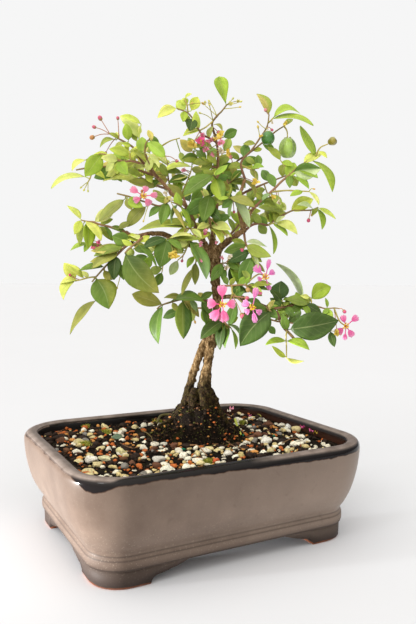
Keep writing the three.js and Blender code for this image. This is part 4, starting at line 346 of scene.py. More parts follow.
leaves 252 203 250 188 9 -6 M, 250 206 233 198 9 -8 D, 246 214 236 214 8 -9 P, 262 222 274 214 9 -6 Y,
 258 223 266 234 9 -8 M, 242 222 232 232 8 -9 L
spray spray_back_top 1 0.45
stem 217 196 -8, 214 186 -22, 209 174 -30, 202 162 -34, 196 150 -36
twig 209 174 -30, 216 162 -36, 224 152 -38
leaves 196 150 188 138 8 -5 M, 199 156 182 160 9 -8 D, 205 168 196 178 9 -9 G, 224 152 230 138 9 -4 M,
 219 158 206 148 8 -8 D, 213 168 226 174 8 -8 D
spray spray_back_bough 1 0.45
stem 240 195 5, 250 190 -8, 264 184 -18, 280 178 -25, 296 172 -29
twig 264 184 -18, 268 194 -26, 276 202 -31
leaves 296 172 312 168 10 -5 V, 290 174 297 186 9 -8 M, 282 178 284 164 10 -6 M, 270 182 262 170 9 -8 D,
 276 202 286 210 9 -6 P, 272 198 264 208 7 -8 G
spray spray_back_left 1 0.45
stem 190 244.5 6, 182 246 -8, 172 250 -18, 160 252 -25, 148 256 -29
twig 172 250 -18, 164 262 -26, 162 272 -30
leaves 148 256 132 262 10 -5 D, 152 255 146 240 9 -8 P, 162 252 158 238 8 -8 G, 162 272 156 286 9 -5 D,
 163 268 150 272 9 -8 M, 150 256 146 270 9 -6 G
spray spray_back_low_right 1 0.45
stem 238 297.5 2, 247 303 -12, 258 312 -22, 272 320 -29, 290 323 -34, 306 323 -36
leaves 306 323 326 324 11 -5 V, 298 323 310 333 9 -8 V, 288 323 296 316 8 -8 D, 272 320 260 330 10 -6 V,
 260 314 250 326 9 -8 M, 276 321 290 306 9 -9 G
spray spray_back_low_left 0.95 0.45
stem 216 304 -2, 210 306 -14, 202 308 -22, 190 308 -28, 180 310 -31
leaves 180 310 163 318 9 -5 D, 183 310 184 328 10 -6 M, 192 308 182 298 8 -8 D, 202 308 208 324 9 -7 G,
 196 308 190 322 8 -9 M
spray spray_back_high_left 0.95 0.45
stem 168 189 8, 158 186 -6, 146 180 -16, 132 173 -22, 118 168 -26
twig 146 180 -16, 146 166 -22, 150 154 -26
leaves 118 168 100 166 9 -5 B, 122 169 112 180 9 -8 D, 130 172 124 158 8 -8 G, 150 154 146 142 8 -4 M,
 149 158 162 156 7 -8 P, 140 177 126 180 7 -9 P
"""

# Blooms: middle, petals as (x, y, width, height) of their limbs, petal colour.
BLOOMS = {
    "front": ((222.5, 304.5, 24), [(222, 290.5, 11, 11), (211.5, 303.5, 8, 11), (231.5, 304, 8, 10),
                                   (215, 315, 8, 9), (224, 316.5, 10, 11)], (250, 98, 156)),
    "second": ((252.5, 307.5, 23), [(255.5, 292.5, 5, 10), (246, 304, 6, 7), (254.5, 318, 4, 10),
                                    (259, 312, 3, 6), (247.5, 311, 4, 6)], (238, 130, 196)),
    "upper": ((265.5, 277, 15), [(268.5, 264, 2.4, 10), (257.5, 269, 6, 7), (260, 279, 3, 6),
                                 (268.5, 287, 3.4, 7), (272, 272.5, 3, 6)], (232, 112, 190)),
    "right": ((346, 326, -2), [(343.5, 318.5, 5.5, 6), (355, 318.5, 5, 6), (340, 331, 6, 6),
                               (351, 333.5, 5, 6), (345, 337, 4.5, 6)], (240, 100, 165)),
    "left": ((143.5, 196, 23), [(134, 190, 7, 5), (145.5, 189, 6, 5), (154, 195, 7, 6),
                                (148, 202, 6, 6), (137, 199.5, 6, 6)], (228, 118, 150)),
}

# Fruits: middle, half sizes across and up in mm, depth of the lobes, colour.
FRUITS = {
    "fruit_dark": ((268, 138, 12), (4.8, 4.8), 0.12, (66, 124, 44)),
    "fruit_green": ((287.8, 148, -2), (6.6, 7.6), 0.28, (172, 204, 96)),
    "fruit_young": ((130, 252.8, 26), (3.1, 3.1), 0.05, (190, 206, 90)),
    "fruit_spent": ((332.5, 141.5, 7), (3.4, 2.8), 0.2, (150, 138, 46)),
}

# Leaf tones in soft light. A leaf has one letter, or one for its upper or right half, one for its
# lower or left half, and a third for its tip.
TONES = {
    "Y": (196, 218, 112), "P": (204, 224, 130), "L": (174, 202, 88), "G": (130, 168, 62),
    "M": (124, 148, 66), "O": (128, 140, 72), "D": (84, 120, 52), "V": (54, 82, 38),
    "T": (120, 160, 116), "W": (190, 220, 170), "B": (178, 176, 104),
}
# Painted light on the leaves: the power that each colour's darkness is raised to, which makes every leaf
# lighter as if lit through it, and how much more that is above a height, painted light that falls on the top of
# the crown.
LEAF_LIGHT = (1.42, 1.22, 1.03)
TOP_PAINTED_LIGHT = 0.3
TOP_LIGHT_FROM, TOP_LIGHT_OVER = 300, 50
BEND_STEPS = (0, 3, -3, 6, -6, 9, -9, 12, -12, 16, -16, 20, -20)
BEND_NEAR = 0.05
ROOT_SHARE = 0.15
LEAF_WIDTH_RATIO = 0.46
LEAF_ARCH = 0.07
LEAST_HALF_WIDTH = 0.12
FREE_STALK = 1.5
LEAF_ROWS = 12
LEAF_COLUMNS = 6
LEAF_THICKNESS = 0.3
LEAF_BELOW_SHADE = 0.85
LONG_LEAF = 9
LEAST_BEND = 0.4
LEAF_STALK_RADII = (0.42, 0.3)
STALK_RADII = (0.34, 0.26)
STALK_SIDES = 5
TWIG_RADII = (0.62, 0.42)
TWIG_SIDES = 7
# A shoot's materials are LEAF, TWIG and STAMEN, the last for buds and tufts.
TWIG_SLOT, SOFT_SLOT = 1, 2
SPRAY_SEED, PEBBLE_SEED, LITTER_SEED, MOSS_SEED, STONE_SEED = 11, 4, 21, 8, 7


def linear(rgb):
    """An 8-bit display colour as linear light."""
    return tuple((c / 255 / 12.92) if c <= 10 else ((c / 255 + 0.055) / 1.055) ** 2.4 for c in rgb)


def unit(value):
    return max(0.0, min(1.0, value))


def blend(first, second, share):
    return tuple(a + (b - a) * share for a, b in zip(first, second))


def lit(tone, light):
    return tuple(min(c * light, 1) for c in tone)


def any_way(draw):
    return Vector((draw.gauss(0, 1), draw.gauss(0, 1), draw.gauss(0, 1))).normalized()


def seen(place):
    """The place that is seen at x, y and lies at a depth."""
    x, y, depth = place
    reach = TRUNK_DISTANCE - depth
    return (EYE + AWAY * reach + RIGHT * (reach * (x - VIEW_SIZE[0] / 2) / VIEW_UNITS)
            + UP * (reach * (VIEW_SIZE[1] / 2 - y) / VIEW_UNITS))


def mm_per_unit(depth):
    return (TRUNK_DISTANCE - depth) / VIEW_UNITS


def numbers(text):
    return [float(word) for word in text.split()]


def way_of(text):
    return [tuple(numbers(place)) for place in text.split(",")]


def rows_of(text):
    return text.strip().replace("\n ", " ").splitlines()


def lettered(text):
    """Entries of numbers that end with letters, as (numbers, letters)."""
    entries = [entry.rsplit(" ", 1) for entry in text.split(",")]
    return [(numbers(values), letters) for values, letters in entries]


def read_sprays():
    """The shoots, each with its name, thickness, stem, twigs, leaves, buds and tufts."""
    sprays = []
    for line in rows_of(SPRAYS):
        kind, rest = line.split(" ", 1)
        if kind == "spray":
            name, thick = rest.split(" ", 1)
            sprays.append({"name": name, "thick": numbers(thick), "twigs": [], "leaves": [],
                           "buds": [], "tufts": []})
        elif kind == "twig":
            sprays[-1]["twigs"].append(way_of(rest))
        else:
            sprays[-1][kind] = lettered(rest) if kind in ("leaves", "tufts") else way_of(rest)
    return sprays


def new_mesh(name, points, faces):
    mesh = bpy.data.meshes.new(name)
    mesh.from_pydata([tuple(p) for p in points], [], faces)
    return mesh


def new_object(name, data):
    made = bpy.data.objects.new(name, data)
    bpy.context.scene.collection.objects.link(made)
    return made


def settle(piece, slot_name, replaces=()):
    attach(piece, "root")
    if replaces:
        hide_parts(*replaces)
    return piece


class Builder:
    """Gathers points and faces of one piece, with a colour and a place on the leaf for each point."""

    def __init__(self):
        self.points, self.faces, self.slots, self.colours, self.places = [], [], [], [], []

    def add(self, points, faces, colours=(1, 1, 1), slot=0, places=None):
        """Colours are a list with one for each point, or a single one."""
        start = len(self.points)
        self.points += points
        self.faces += [tuple(start + i for i in face) for face in faces]
        self.slots += [slot] * len(faces)
        self.colours += colours if isinstance(colours, list) else [colours] * len(points)
        self.places += places if places else [(0.5, 0.5)] * len(points)

    def grid(self, rows, colours=(1, 1, 1), slot=0):
        """A skin over rows of equal length."""
        self.skin(rows, len(rows[0]) - 1, [], colours, slot)

    def tube(self, rows, colours=(1, 1, 1), slot=0, caps=True):
        """A skin over rings of equal length, with both its ends closed or open."""
        count = len(rows[0])
        last = (len(rows) - 1) * count
        ends = [tuple(range(count - 1, -1, -1)), tuple(last + j for j in range(count))]
        self.skin(rows, count, ends if caps else [], colours, slot)

    def skin(self, rows, columns, ends, colours, slot):
        count = len(rows[0])
        faces = [(i * count + j, i * count + (j + 1) % count,
                  (i + 1) * count + (j + 1) % count, (i + 1) * count + j)
                 for i in range(len(rows) - 1) for j in range(columns)]
        self.add([p for row in rows for p in row], faces + ends, colours, slot)

    def sheet(self, skins, colours, places):
        """A thin closed sheet: the rows of its upper and of its lower skin, and a rim between them."""
        rows, columns = len(skins[0]) - 1, len(skins[0][0]) - 1
        count = columns + 1
        size = (rows + 1) * count
        faces = []
        for i in range(rows):
            for a in range(i * count, i * count + columns):
                faces.append((a, a + 1, a + 1 + count, a + count))
                faces.append((size + a, size + a + count, size + a + count + 1, size + a + 1))
        rim = ([(0, j) for j in range(columns)] + [(i, columns) for i in range(rows)]
               + [(rows, j) for j in range(columns, 0, -1)] + [(i, 0) for i in range(rows, 0, -1)])
        for (i0, j0), (i1, j1) in zip(rim, rim[1:] + rim[:1]):
            a, b = i0 * count + j0, i1 * count + j1
            faces.append((b, a, size + a, size + b))
        self.add([p for skin in skins for row in skin for p in row], faces, colours, places=places)

    def mesh(self, name):
        return new_mesh(name, [(p + POT_MM) * MM for p in self.points], self.faces)

    def make(self, name, materials, slot_name, replaces=()):
        mesh = self.mesh(name)
        mesh.polygons.foreach_set("material_index", self.slots)
        mesh.polygons.foreach_set("use_smooth", [True] * len(self.faces))
        for material in materials:
            mesh.materials.append(material)
        tone = mesh.color_attributes.new("tone", "FLOAT_COLOR", "POINT")
        tone.data.foreach_set("color", [v for c in self.colours for v in (*c[:3], 1.0)])
        corner = np.empty(len(mesh.loops), dtype=np.int32)
        mesh.loops.foreach_get("vertex_index", corner)
        uv = mesh.uv_layers.new(name="leaf")
        uv.data.foreach_set("uv", np.array(self.places, dtype=np.float32)[corner].ravel())
        mesh.validate()
        mesh.update()
        return settle(new_object(name, mesh), slot_name, replaces)


def smooth_way(points, radii, step=1.2):
    """Points on a smooth curve through a way, about step mm apart, with a radius for each."""
    spots = np.linspace(0, len(radii) - 1, len(points))
    each = list(radii) if len(radii) == len(points) else list(np.interp(spots, range(len(radii)), radii))
    ends = [points[0] * 2 - points[1], *points, points[-1] * 2 - points[-2]]
    way, thick = [], []
    for i in range(len(points) - 1):
        a, b, c, d = ends[i:i + 4]
        count = max(1, round((c - b).length / step))
        for k in range(count):
            t = k / count
            way.append(0.5 * ((2 * b) + (c - a) * t + (2 * a - 5 * b + 4 * c - d) * t * t
                              + (3 * b - a - 3 * c + d) * t ** 3))
            thick.append(each[i] + (each[i + 1] - each[i]) * t)
    return way + [points[-1]], thick + [each[-1]]


def tube_rows(way, radii, sides, rough=0.0, seed=0.0):
    """Rings round a way; rough makes them uneven by that share of their radius."""
    rows = []
    across = None
    for i, point in enumerate(way):
        along = (way[min(i + 1, len(way) - 1)] - way[max(i - 1, 0)]).normalized()
        if across is None:
            across = along.cross(Vector((0, 0, 1)) if abs(along.z) < 0.9 else LEVEL)
        across = (across - along * across.dot(along)).normalized()
        over = along.cross(across)
        ring = []
        for j in range(sides):
            turn = 2 * math.pi * j / sides
            out = across * math.cos(turn) + over * math.sin(turn)
            swell = 1 + rough * noise.noise((point + out * 3) * 0.9 + Vector((seed, 0, 0)))
            ring.append(point + out * (radii[i] * swell))
        rows.append(ring)
    return rows


def ball_rows(middle, radius, axis, stretch=1.0, sides=8, bands=5):
    """Rings of a round bud about an axis."""
    axis = axis.normalized()
    across = axis.cross(Vector((0.3, 0.2, 0.93))).normalized()
    over = axis.cross(across)
    rows = []
    for i in range(bands + 1):
        turn = math.pi * (0.02 + 0.96 * i / bands)
        rows.append([middle - axis * (radius * stretch * math.cos(turn))
                     + (across * math.cos(2 * math.pi * j / sides)
                        + over * math.sin(2 * math.pi * j / sides)) * (radius * math.sin(turn))
                     for j in range(sides)])
    return rows


# ---- materials
class Look:
    """A procedural material, node by node. Its places are in metres."""

    def __init__(self, name, roughness, **sockets):
        self.material = bpy.data.materials.new(name)
        self.material.use_nodes = True
        self.tree = self.material.node_tree
        self.shader = self.tree.nodes["Principled BSDF"]
        self.shader.inputs["Roughness"].default_value = roughness
        for socket, value in sockets.items():
            self.shader.inputs[socket.replace("_", " ")].default_value = value

    def node(self, kind, inputs=(), **settings):
        made = self.tree.nodes.new("ShaderNode" + kind)
        for key, value in settings.items():
            setattr(made, key, value)
        for socket, value in dict(inputs).items():
            self.feed(made.inputs[socket], value)
        return made

    def feed(self, socket, value):
        if isinstance(value, bpy.types.NodeSocket):
            self.tree.links.new(value, socket)
        else:
            socket.default_value = value

    def maths(self, operation, first, *others, clamp=False):
        """The first value and each of the others in turn."""
        for other in others:
            first = self.node("Math", {0: first, 1: other}, operation=operation, use_clamp=clamp).outputs[0]
        return first

    def times(self, *values, clamp=False):
        return self.maths("MULTIPLY", *values, clamp=clamp)

    def plus(self, *values, clamp=False):
        return self.maths("ADD", *values, clamp=clamp)

    def minus(self, *values, clamp=False):
        return self.maths("SUBTRACT", *values, clamp=clamp)

    def less(self, value, limit):
        return self.maths("LESS_THAN", value, limit)

    def distance(self, value, other):
        away = self.minus(value, other)
        return self.node("Math", {0: away}, operation="ABSOLUTE").outputs[0]

    def span(self, value, low, high, start=0.0, end=1.0):
        """Goes from start to end as the value goes from low to high, and no further."""
        return self.node("MapRange", {"Value": value, "From Min": low, "From Max": high,
                                      "To Min": start, "To Max": end}).outputs[0]

    def tone(self):
        return self.node("Attribute", attribute_name="tone").outputs["Color"]

    def place(self):
        return self.node("TexCoord").outputs["Object"]

    def parts(self, vector):
        """The X, Y and Z of a vector."""
        return tuple(self.node("SeparateXYZ", {0: vector}).outputs)

    def on_leaf(self):
        """The place across a leaf or petal, how far that is from its middle, the place along it."""
        x, y, _ = self.parts(self.node("UVMap", uv_map="leaf").outputs[0])
        return x, self.distance(x, 0.5), y

    def noise(self, scale, detail=3, stretch=(1, 1, 1), rough=0.55):
        stretched = self.node("Mapping", {"Vector": self.place(), "Scale": stretch}).outputs[0]
        made = self.node("TexNoise", {"Vector": stretched, "Scale": scale, "Detail": detail,
                                      "Roughness": rough})
        return made.outputs["Fac"]

    def ramp(self, value, stops):
        made = self.node("ValToRGB", {"Fac": value})
        ramp = made.color_ramp
        while len(ramp.elements) < len(stops):
            ramp.elements.new(0.5)
        for element, (at, colour) in zip(ramp.elements, stops):
            element.position = at
            element.color = (*(colour if isinstance(colour, tuple) else (colour,) * 3), 1)
        return made.outputs["Color"]

    def mix(self, share, first, second, blend_type="MIX"):
        made = self.node("Mix", data_type="RGBA", blend_type=blend_type)
        sockets = [s for s in made.inputs if s.enabled]
        self.feed(sockets[0], share)
        for socket, value in zip(sockets[1:], (first, second)):
            if isinstance(value, float):
                value = (value,) * 3
            self.feed(socket, (*value, 1) if isinstance(value, tuple) else value)
        return next(s for s in made.outputs if s.enabled)

    def colour(self, value):
        self.feed(self.shader.inputs["Base Color"], value)

    def rough(self, value):
        self.feed(self.shader.inputs["Roughness"], value)

    def bump(self, height, distance, strength=1.0):
        made = self.node("Bump", {"Height": height, "Distance": distance, "Strength": strength})
        self.feed(self.shader.inputs["Normal"], made.outputs[0])

    def height_above(self, low, high):
        """0 to 1 as the place rises from low to high."""
        return self.span(self.parts(self.place())[2], low, high)


def leaf_look():
    """Darker in soft patches, with a pale rib and faint veins that slant away from it."""
    look = Look("leaf", 0.46, Subsurface_Weight=0.12, Subsurface_Scale=0.0008,
                Subsurface_Radius=(1.0, 1.3, 0.4), Coat_Weight=0.05, Coat_Roughness=0.25,
                Specular_IOR_Level=0.22)
    _, from_rib, along = look.on_leaf()
    tone = look.tone()
    cloud = look.noise(240, 4)
    course = look.minus(look.plus(look.times(along, 6.5), look.times(cloud, 0.5)), look.times(from_rib, 4.0))
    vein = look.minus(1.0, look.times(look.maths("PINGPONG", course, 0.5), 9.0), clamp=True)
    rib = look.minus(1.0, look.times(from_rib, 30.0), clamp=True)
    lines = look.maths("MAXIMUM", look.times(vein, 0.14), look.times(rib, 0.7))
    shaded = look.mix(1.0, tone, (0.74, 0.80, 0.60), "MULTIPLY")
    body = look.mix(look.ramp(cloud, [(0.32, 0.0), (0.68, 1.0)]), shaded, tone)
    look.colour(look.mix(look.times(lines, 0.7), body, look.mix(0.5, tone, (0.62, 0.66, 0.30))))
    look.bump(look.minus(look.times(look.noise(1100, 2), 0.2), lines), 0.00014, 0.3)
    return look.material


def twig_look():
    look = Look("twig", 0.62)
    grain = look.noise(1400, 4, (1, 1, 0.35))
    tone = look.tone()
    look.colour(look.mix(grain, look.mix(0.3, tone, (0.02, 0.012, 0.006)), tone))
    look.bump(grain, 0.0002, 0.7)
    return look.material


def bark_look():
    """Ridged and pitted, redder high up; its foot is caked with dark soil, crumbs and a little moss."""
    look = Look("bark", 0.86, Specular_IOR_Level=0.08)
    ridge = look.noise(760, 6, (1, 1, 0.5), 0.68)
    fine = look.noise(2600, 5, (1, 1, 0.6), 0.7)
    wood = look.ramp(ridge, [(0.32, (0.030, 0.016, 0.007)), (0.44, (0.130, 0.075, 0.030)),
                             (0.55, (0.30, 0.19, 0.085)), (0.68, (0.60, 0.43, 0.24))])
    wood = look.mix(1.0, wood, look.ramp(fine, [(0.38, 0.45), (0.54, 1.0)]), "MULTIPLY")
    wood = look.mix(look.times(look.height_above(0.180, 0.222), 0.4), wood, (0.50, 0.28, 0.15))
    crumbs = look.ramp(look.noise(1300, 3, rough=0.75),
                       [(0.42, (0.004, 0.003, 0.002)), (0.56, (0.016, 0.010, 0.006)),
                        (0.64, (0.075, 0.045, 0.020)), (0.72, (0.30, 0.13, 0.045))])
    low = look.minus(1.0, look.height_above(0.094, 0.107))
    lowest = look.minus(1.0, look.height_above(0.091, 0.101))
    caked = look.maths("MAXIMUM", look.ramp(look.noise(300, 4), [(0.34, 0.0), (0.46, 1.0)]), lowest)
    wood = look.mix(look.times(low, caked, 0.96), wood, crumbs)
    moss = look.times(low, look.ramp(look.noise(420, 5), [(0.46, 0.0), (0.6, 1.0)]), clamp=True)
    look.colour(look.mix(look.times(moss, 0.22), wood, (0.120, 0.100, 0.024)))
    look.bump(look.plus(ridge, look.times(fine, 0.4)), 0.0009, 0.9)
    return look.material


def petal_look():
    """Veined along its length, deeper in the folds, paler towards the edge."""
    look = Look("petal", 0.5, Subsurface_Weight=0.25, Subsurface_Scale=0.0008,
                Subsurface_Radius=(2.0, 0.8, 1.0))
    across, from_middle, along = look.on_leaf()
    streaks = look.maths("PINGPONG", look.times(across, 9.0), 0.5)
    vein = look.minus(1.0, look.times(streaks, 5.0), clamp=True)
    fold = look.times(look.minus(0.5, from_middle), look.noise(500, 3))
    deep = look.mix(look.plus(look.times(vein, 0.12), fold, clamp=True), look.tone(), (0.80, 0.05, 0.22))
    pale = look.times(look.maths("POWER", along, 4.0), 0.45)
    look.colour(look.mix(pale, deep, (0.98, 0.60, 0.76)))
    look.bump(look.plus(vein, look.noise(1500, 2)), 0.0002, 0.4)
    return look.material


def plain_look(name, roughness, scale, depth, dirt=0.6, **sockets):
    """Its colour comes from the piece, with mottling of its own."""
    look = Look(name, roughness, **sockets)
    cloud = look.noise(scale, 4)
    stain = look.ramp(cloud, [(0.42, 0.0), (0.75, 1.0)])
    look.colour(look.mix(look.times(stain, dirt), look.tone(), (0.07, 0.045, 0.025)))
    look.bump(cloud, depth, 0.8)
    return look.material


LEAF = leaf_look()
TWIG = twig_look()
BARK = bark_look()
PETAL = petal_look()
STAMEN = plain_look("stamen", 0.5, 1800, 0.0002, 0.15)
FRUIT = plain_look("fruit_skin", 0.22, 300, 0.0001, 0.25, Coat_Weight=0.4, Coat_Roughness=0.12)


# ---- leaves and twigs
def nearest_on(ways, x, y):
    """How far x, y is from the nearest of the ways, and the nearest spot on it."""
    best = (math.inf, None)
    for way in ways:
        for (x0, y0, d0), (x1, y1, d1) in zip(way, way[1:]):
            length2 = (x1 - x0) ** 2 + (y1 - y0) ** 2
            t = ((x - x0) * (x1 - x0) + (y - y0) * (y1 - y0)) / length2 if length2 else 0
            t = min(max(t, 0), 1)
            spot = (x0 + (x1 - x0) * t, y0 + (y1 - y0) * t, d0 + (d1 - d0) * t)
            gap = math.hypot(spot[0] - x, spot[1] - y)
            if gap < best[0]:
                best = (gap, spot)
    return best


def twig_ways(spray):
    """The ways that leaves grow from: the stem outside the wood, and each twig from where it starts."""
    foot, onward = spray["stem"][1:3]
    start = tuple(f + (n - f) * ROOT_SHARE for f, n in zip(foot, onward))
    ways = [[start, *spray["stem"][2:]]]
    for twig in spray["twigs"]:
        _, spot = nearest_on(ways, *twig[0][:2])
        ways.append([spot, *twig[1:]])
    return ways


def blade_frame(root, tip, shown, wide, side):
    """The ways across a blade, out of its upper face and across the view, turned to show its width."""
    along = (tip - root).normalized()
    to_eye = (EYE - root).normalized()
    flat = along.cross(to_eye).normalized()
    lift = flat.dot(UP)
    if (lift if abs(lift) > 0.1 else flat.dot(RIGHT)) < 0:
        flat = -flat
    near = flat.cross(along)
    if near.dot(to_eye) < 0:
        near = -near
    roll = math.acos(min(shown / wide, 1))
    across = flat * math.cos(roll) - near * (side * math.sin(roll))
    face = along.cross(across)
    if face.dot(to_eye) * side < 0:
        face = -face
    return across, face, flat


def bend_taken(tips, points):
    """Which of the bends the leaf's solid has: the one whose tip is a point of the node."""
    gaps = [np.min(np.linalg.norm(points - np.array(tip), axis=1)) for tip in tips]
    best = int(np.argmin(gaps))
    return BEND_STEPS[best] if gaps[best] < BEND_NEAR else 0


def leaf_outline(t, lean=0.87, full=0.82):
    return math.sin(math.pi * t ** lean) ** full if 0 < t < 1 else 0.0


def leaf_tones(letters, tip_y, draw):
    """The tones of a leaf's upper half, its lower half and its tip, lightened by painted light, more above a
    height.
    """
    shade = draw.uniform(0.82, 1.12)
    warm = draw.uniform(-0.1, 0.12)
    # Painted light: leaves are lighter above a height, where light falls from above.
    top_light_and_chance = shade * (1 + TOP_PAINTED_LIGHT * unit((TOP_LIGHT_FROM - tip_y) / TOP_LIGHT_OVER))
    powers = [light * top_light_and_chance * (1 + warm * k) for light, k in zip(LEAF_LIGHT, (1, 0.2, -1))]
    halves = (letters[0], letters[1 % len(letters)], letters[-1] if len(letters) > 2 else letters[0])
    return [[1 - (1 - c) ** power for c, power in zip(linear(TONES[letter]), powers)] for letter in halves]


def grow_stalk(builder, points, radii, tone, slot=TWIG_SLOT, step=1.5):
    way, thick = smooth_way(points, radii, step)
    builder.tube(tube_rows(way, thick, STALK_SIDES), tone, slot)
    return way


def grow_leaf(builder, values, letters, ways, points, draw):
    """A curved and folded blade on its stalk, in the place and turn that it is seen in."""
    x0, y0, x1, y1, shown, reach, side, bow, *shape = values
    gap, spot = nearest_on(ways, x0, y0)
    scale = mm_per_unit(spot[2])
    root = seen(spot)
    base = seen((x0, y0, spot[2])) if gap > FREE_STALK else root
    bend = 0
    if points is not None:
        bend = bend_taken([seen((x1, y1, spot[2] + reach + b)) for b in BEND_STEPS], points)
    tip = seen((x1, y1, spot[2] + reach + bend))
    length = (tip - base).length
    wide = max(shown * scale, LEAF_WIDTH_RATIO * length)
    across, face, flat = blade_frame(base, tip, shown * scale, wide, side)

    def middle(t):
        swell = 4 * t * (1 - t)
        return base.lerp(tip, t) + flat * (bow * scale * swell) + face * (LEAF_ARCH * length * swell)

    fold = draw.uniform(0.05, 0.16) * wide
    wave = draw.uniform(0.01, 0.035) * wide
    beat, phase = draw.uniform(5, 9), draw.uniform(0, 6)
    upper, lower, end = leaf_tones(letters, y1, draw)
    halves = draw.uniform(-0.16, 0.16)
    start = 0.05 if length > LONG_LEAF else 0.1
    spread = [2 * j / LEAF_COLUMNS - 1 for j in range(LEAF_COLUMNS + 1)]
    skins, colours, places = [], [], []
    for skin, pale in ((1, 1.0), (-1, LEAF_BELOW_SHADE)):
        rows = []
        for i in range(LEAF_ROWS + 1):
            share = i / LEAF_ROWS
            t = start + (1 - start) * i / LEAF_ROWS
            half = max(wide / 2 * leaf_outline((t - start) / (1 - start), *shape), LEAST_HALF_WIDTH)
            spine = middle(t)
            row = []
            for u in spread:
                lift = fold * abs(u) * half / (wide / 2) + wave * u * u * math.sin(beat * t + phase + 2 * u)
                row.append(spine + across * (u * half)
                           + face * (lift + skin * LEAF_THICKNESS / 2 * (1 - 0.6 * u * u)))
                edge = (1 + 0.14 * abs(u) - 0.14 * (1 - share)) * (1 + halves * (1 if u > 0 else -1))
                tone = upper if u > 0.02 else lower
                if len(letters) > 2:
                    tone = blend(tone, end, share * share)
                colours.append(tuple(min(c * edge * light, 1)
                                     for c, light in zip(tone, (pale * 1.05, pale, pale))))
                places.append((0.5 + u / 2, share))
            rows.append(row)
        skins.append(rows)
    builder.sheet(skins, colours, places)
    bent = (base - root).length > LEAST_BEND
    grow_stalk(builder, [root, base, middle(start)] if bent else [root, middle(start)],
               LEAF_STALK_RADII, tuple(upper))


WOOD_TONES = [linear(rgb) for rgb in ((120, 74, 58), (164, 110, 86), (136, 90, 68))]
GREEN_TONE = linear((176, 166, 84))
TIP_TONE = linear((214, 196, 100))


def grow_twig(builder, places, radii, seed, tones):
    """Uneven wood with a knot now and then, whose tone changes along it."""
    way, thick = smooth_way([seen(p) for p in places], radii, 1.6)
    for i in range(len(thick)):
        thick[i] *= 1 + 0.16 * (noise.noise(Vector((i * 0.37, seed, 0))) + (0.5 if i % 6 == 3 else 0))
    colours = [blend(*tones, i / (len(way) - 1)) for i in range(len(way)) for _ in range(TWIG_SIDES)]
    builder.tube(tube_rows(way, thick, TWIG_SIDES, 0.12, seed), colours, TWIG_SLOT)


CLOSED_BUDS = [(226, 222, 104), (232, 206, 96), (214, 214, 110), (222, 176, 96)]
OPEN_BUDS = [(214, 104, 128), (206, 124, 104), (232, 150, 156), (200, 140, 84), (216, 84, 124), (198, 158, 96)]
BUD_OPENS = 3
# Of closed and of open buds: tones, tone of the stalk, tone of the sepals, length as a share of the width.
BUD_KINDS = {
    True: (CLOSED_BUDS, (210, 204, 100), (202, 200, 92), 1.6),
    False: (OPEN_BUDS, (206, 146, 112), (168, 128, 74), 1.1),
}


def grow_bud(builder, ways, bud, draw):
    x0, y0, x1, y1, size = bud
    _, spot = nearest_on(ways, x0, y0)
    root, end = seen(spot), seen((x1, y1, spot[2] + 2))
    bow = Vector((0, 0, draw.uniform(-0.6, 1.2)))
    tones, stalk, sepals, stretch = BUD_KINDS[size < BUD_OPENS]
    tone = linear(draw.choice(tones))
    way = grow_stalk(builder, [root, root.lerp(end, 0.5) + bow, end], STALK_RADII, linear(stalk))
    radius = max(size * mm_per_unit(spot[2]) / 2 * 0.95, 0.6)
    axis = end - way[-2]
    builder.tube(ball_rows(end, radius, axis, stretch), tone, SOFT_SLOT)
    builder.tube(ball_rows(end - axis.normalized() * radius * 0.5, radius * 0.9, axis, 0.8),
                 linear(sepals), SOFT_SLOT)


TUFT_LIFT = 14
TUFT_PETALS = 6
TUFT_ROWS = 4
TUFT_MIDDLE = (196, 172, 60)
TUFT_TONES = {"K": (236, 96, 148), "R": (244, 150, 176), "C": (236, 224, 196), "E": (242, 214, 92),
              "F": (236, 230, 128)}


def grow_tuft(builder, ways, tuft, draw):
    """A small crumpled or dried bloom on a short stalk: a few curled petals round a middle."""
    (x, y, size), letter = tuft
    _, spot = nearest_on(ways, x, y)
    root, middle = seen(spot), seen((x, y, spot[2] + TUFT_LIFT))
    bow = Vector((0, 0, 0.5))
    grow_stalk(builder, [root, root.lerp(middle, 0.5) + bow, middle], STALK_RADII, GREEN_TONE)
    radius = size * mm_per_unit(spot[2]) * 0.7
    builder.tube(ball_rows(middle, radius * 0.3, UP, 1, 6, 4), linear(TUFT_MIDDLE), SOFT_SLOT)
    for _ in range(TUFT_PETALS):
        out = any_way(draw)
        across = out.cross(Vector((draw.gauss(0, 1), draw.gauss(0, 1), 0.3))).normalized()
        over = out.cross(across)
        rows = []
        for i in range(TUFT_ROWS + 1):
            t = i / TUFT_ROWS
            half = radius * (0.12 + 0.42 * math.sin(math.pi * min(t + 0.12, 1)) ** 0.7)
            curl = radius * 0.6 * t * t * draw.uniform(-1, 1)
            rows.append([middle + out * (radius * 1.05 * t) + across * (half * u)
                         + over * (curl + radius * 0.3 * u * u * draw.uniform(-1, 1)) for u in (-1, 0, 1)])
        builder.grid(rows, lit(linear(TUFT_TONES[letter]), draw.uniform(0.75, 1.15)), SOFT_SLOT)


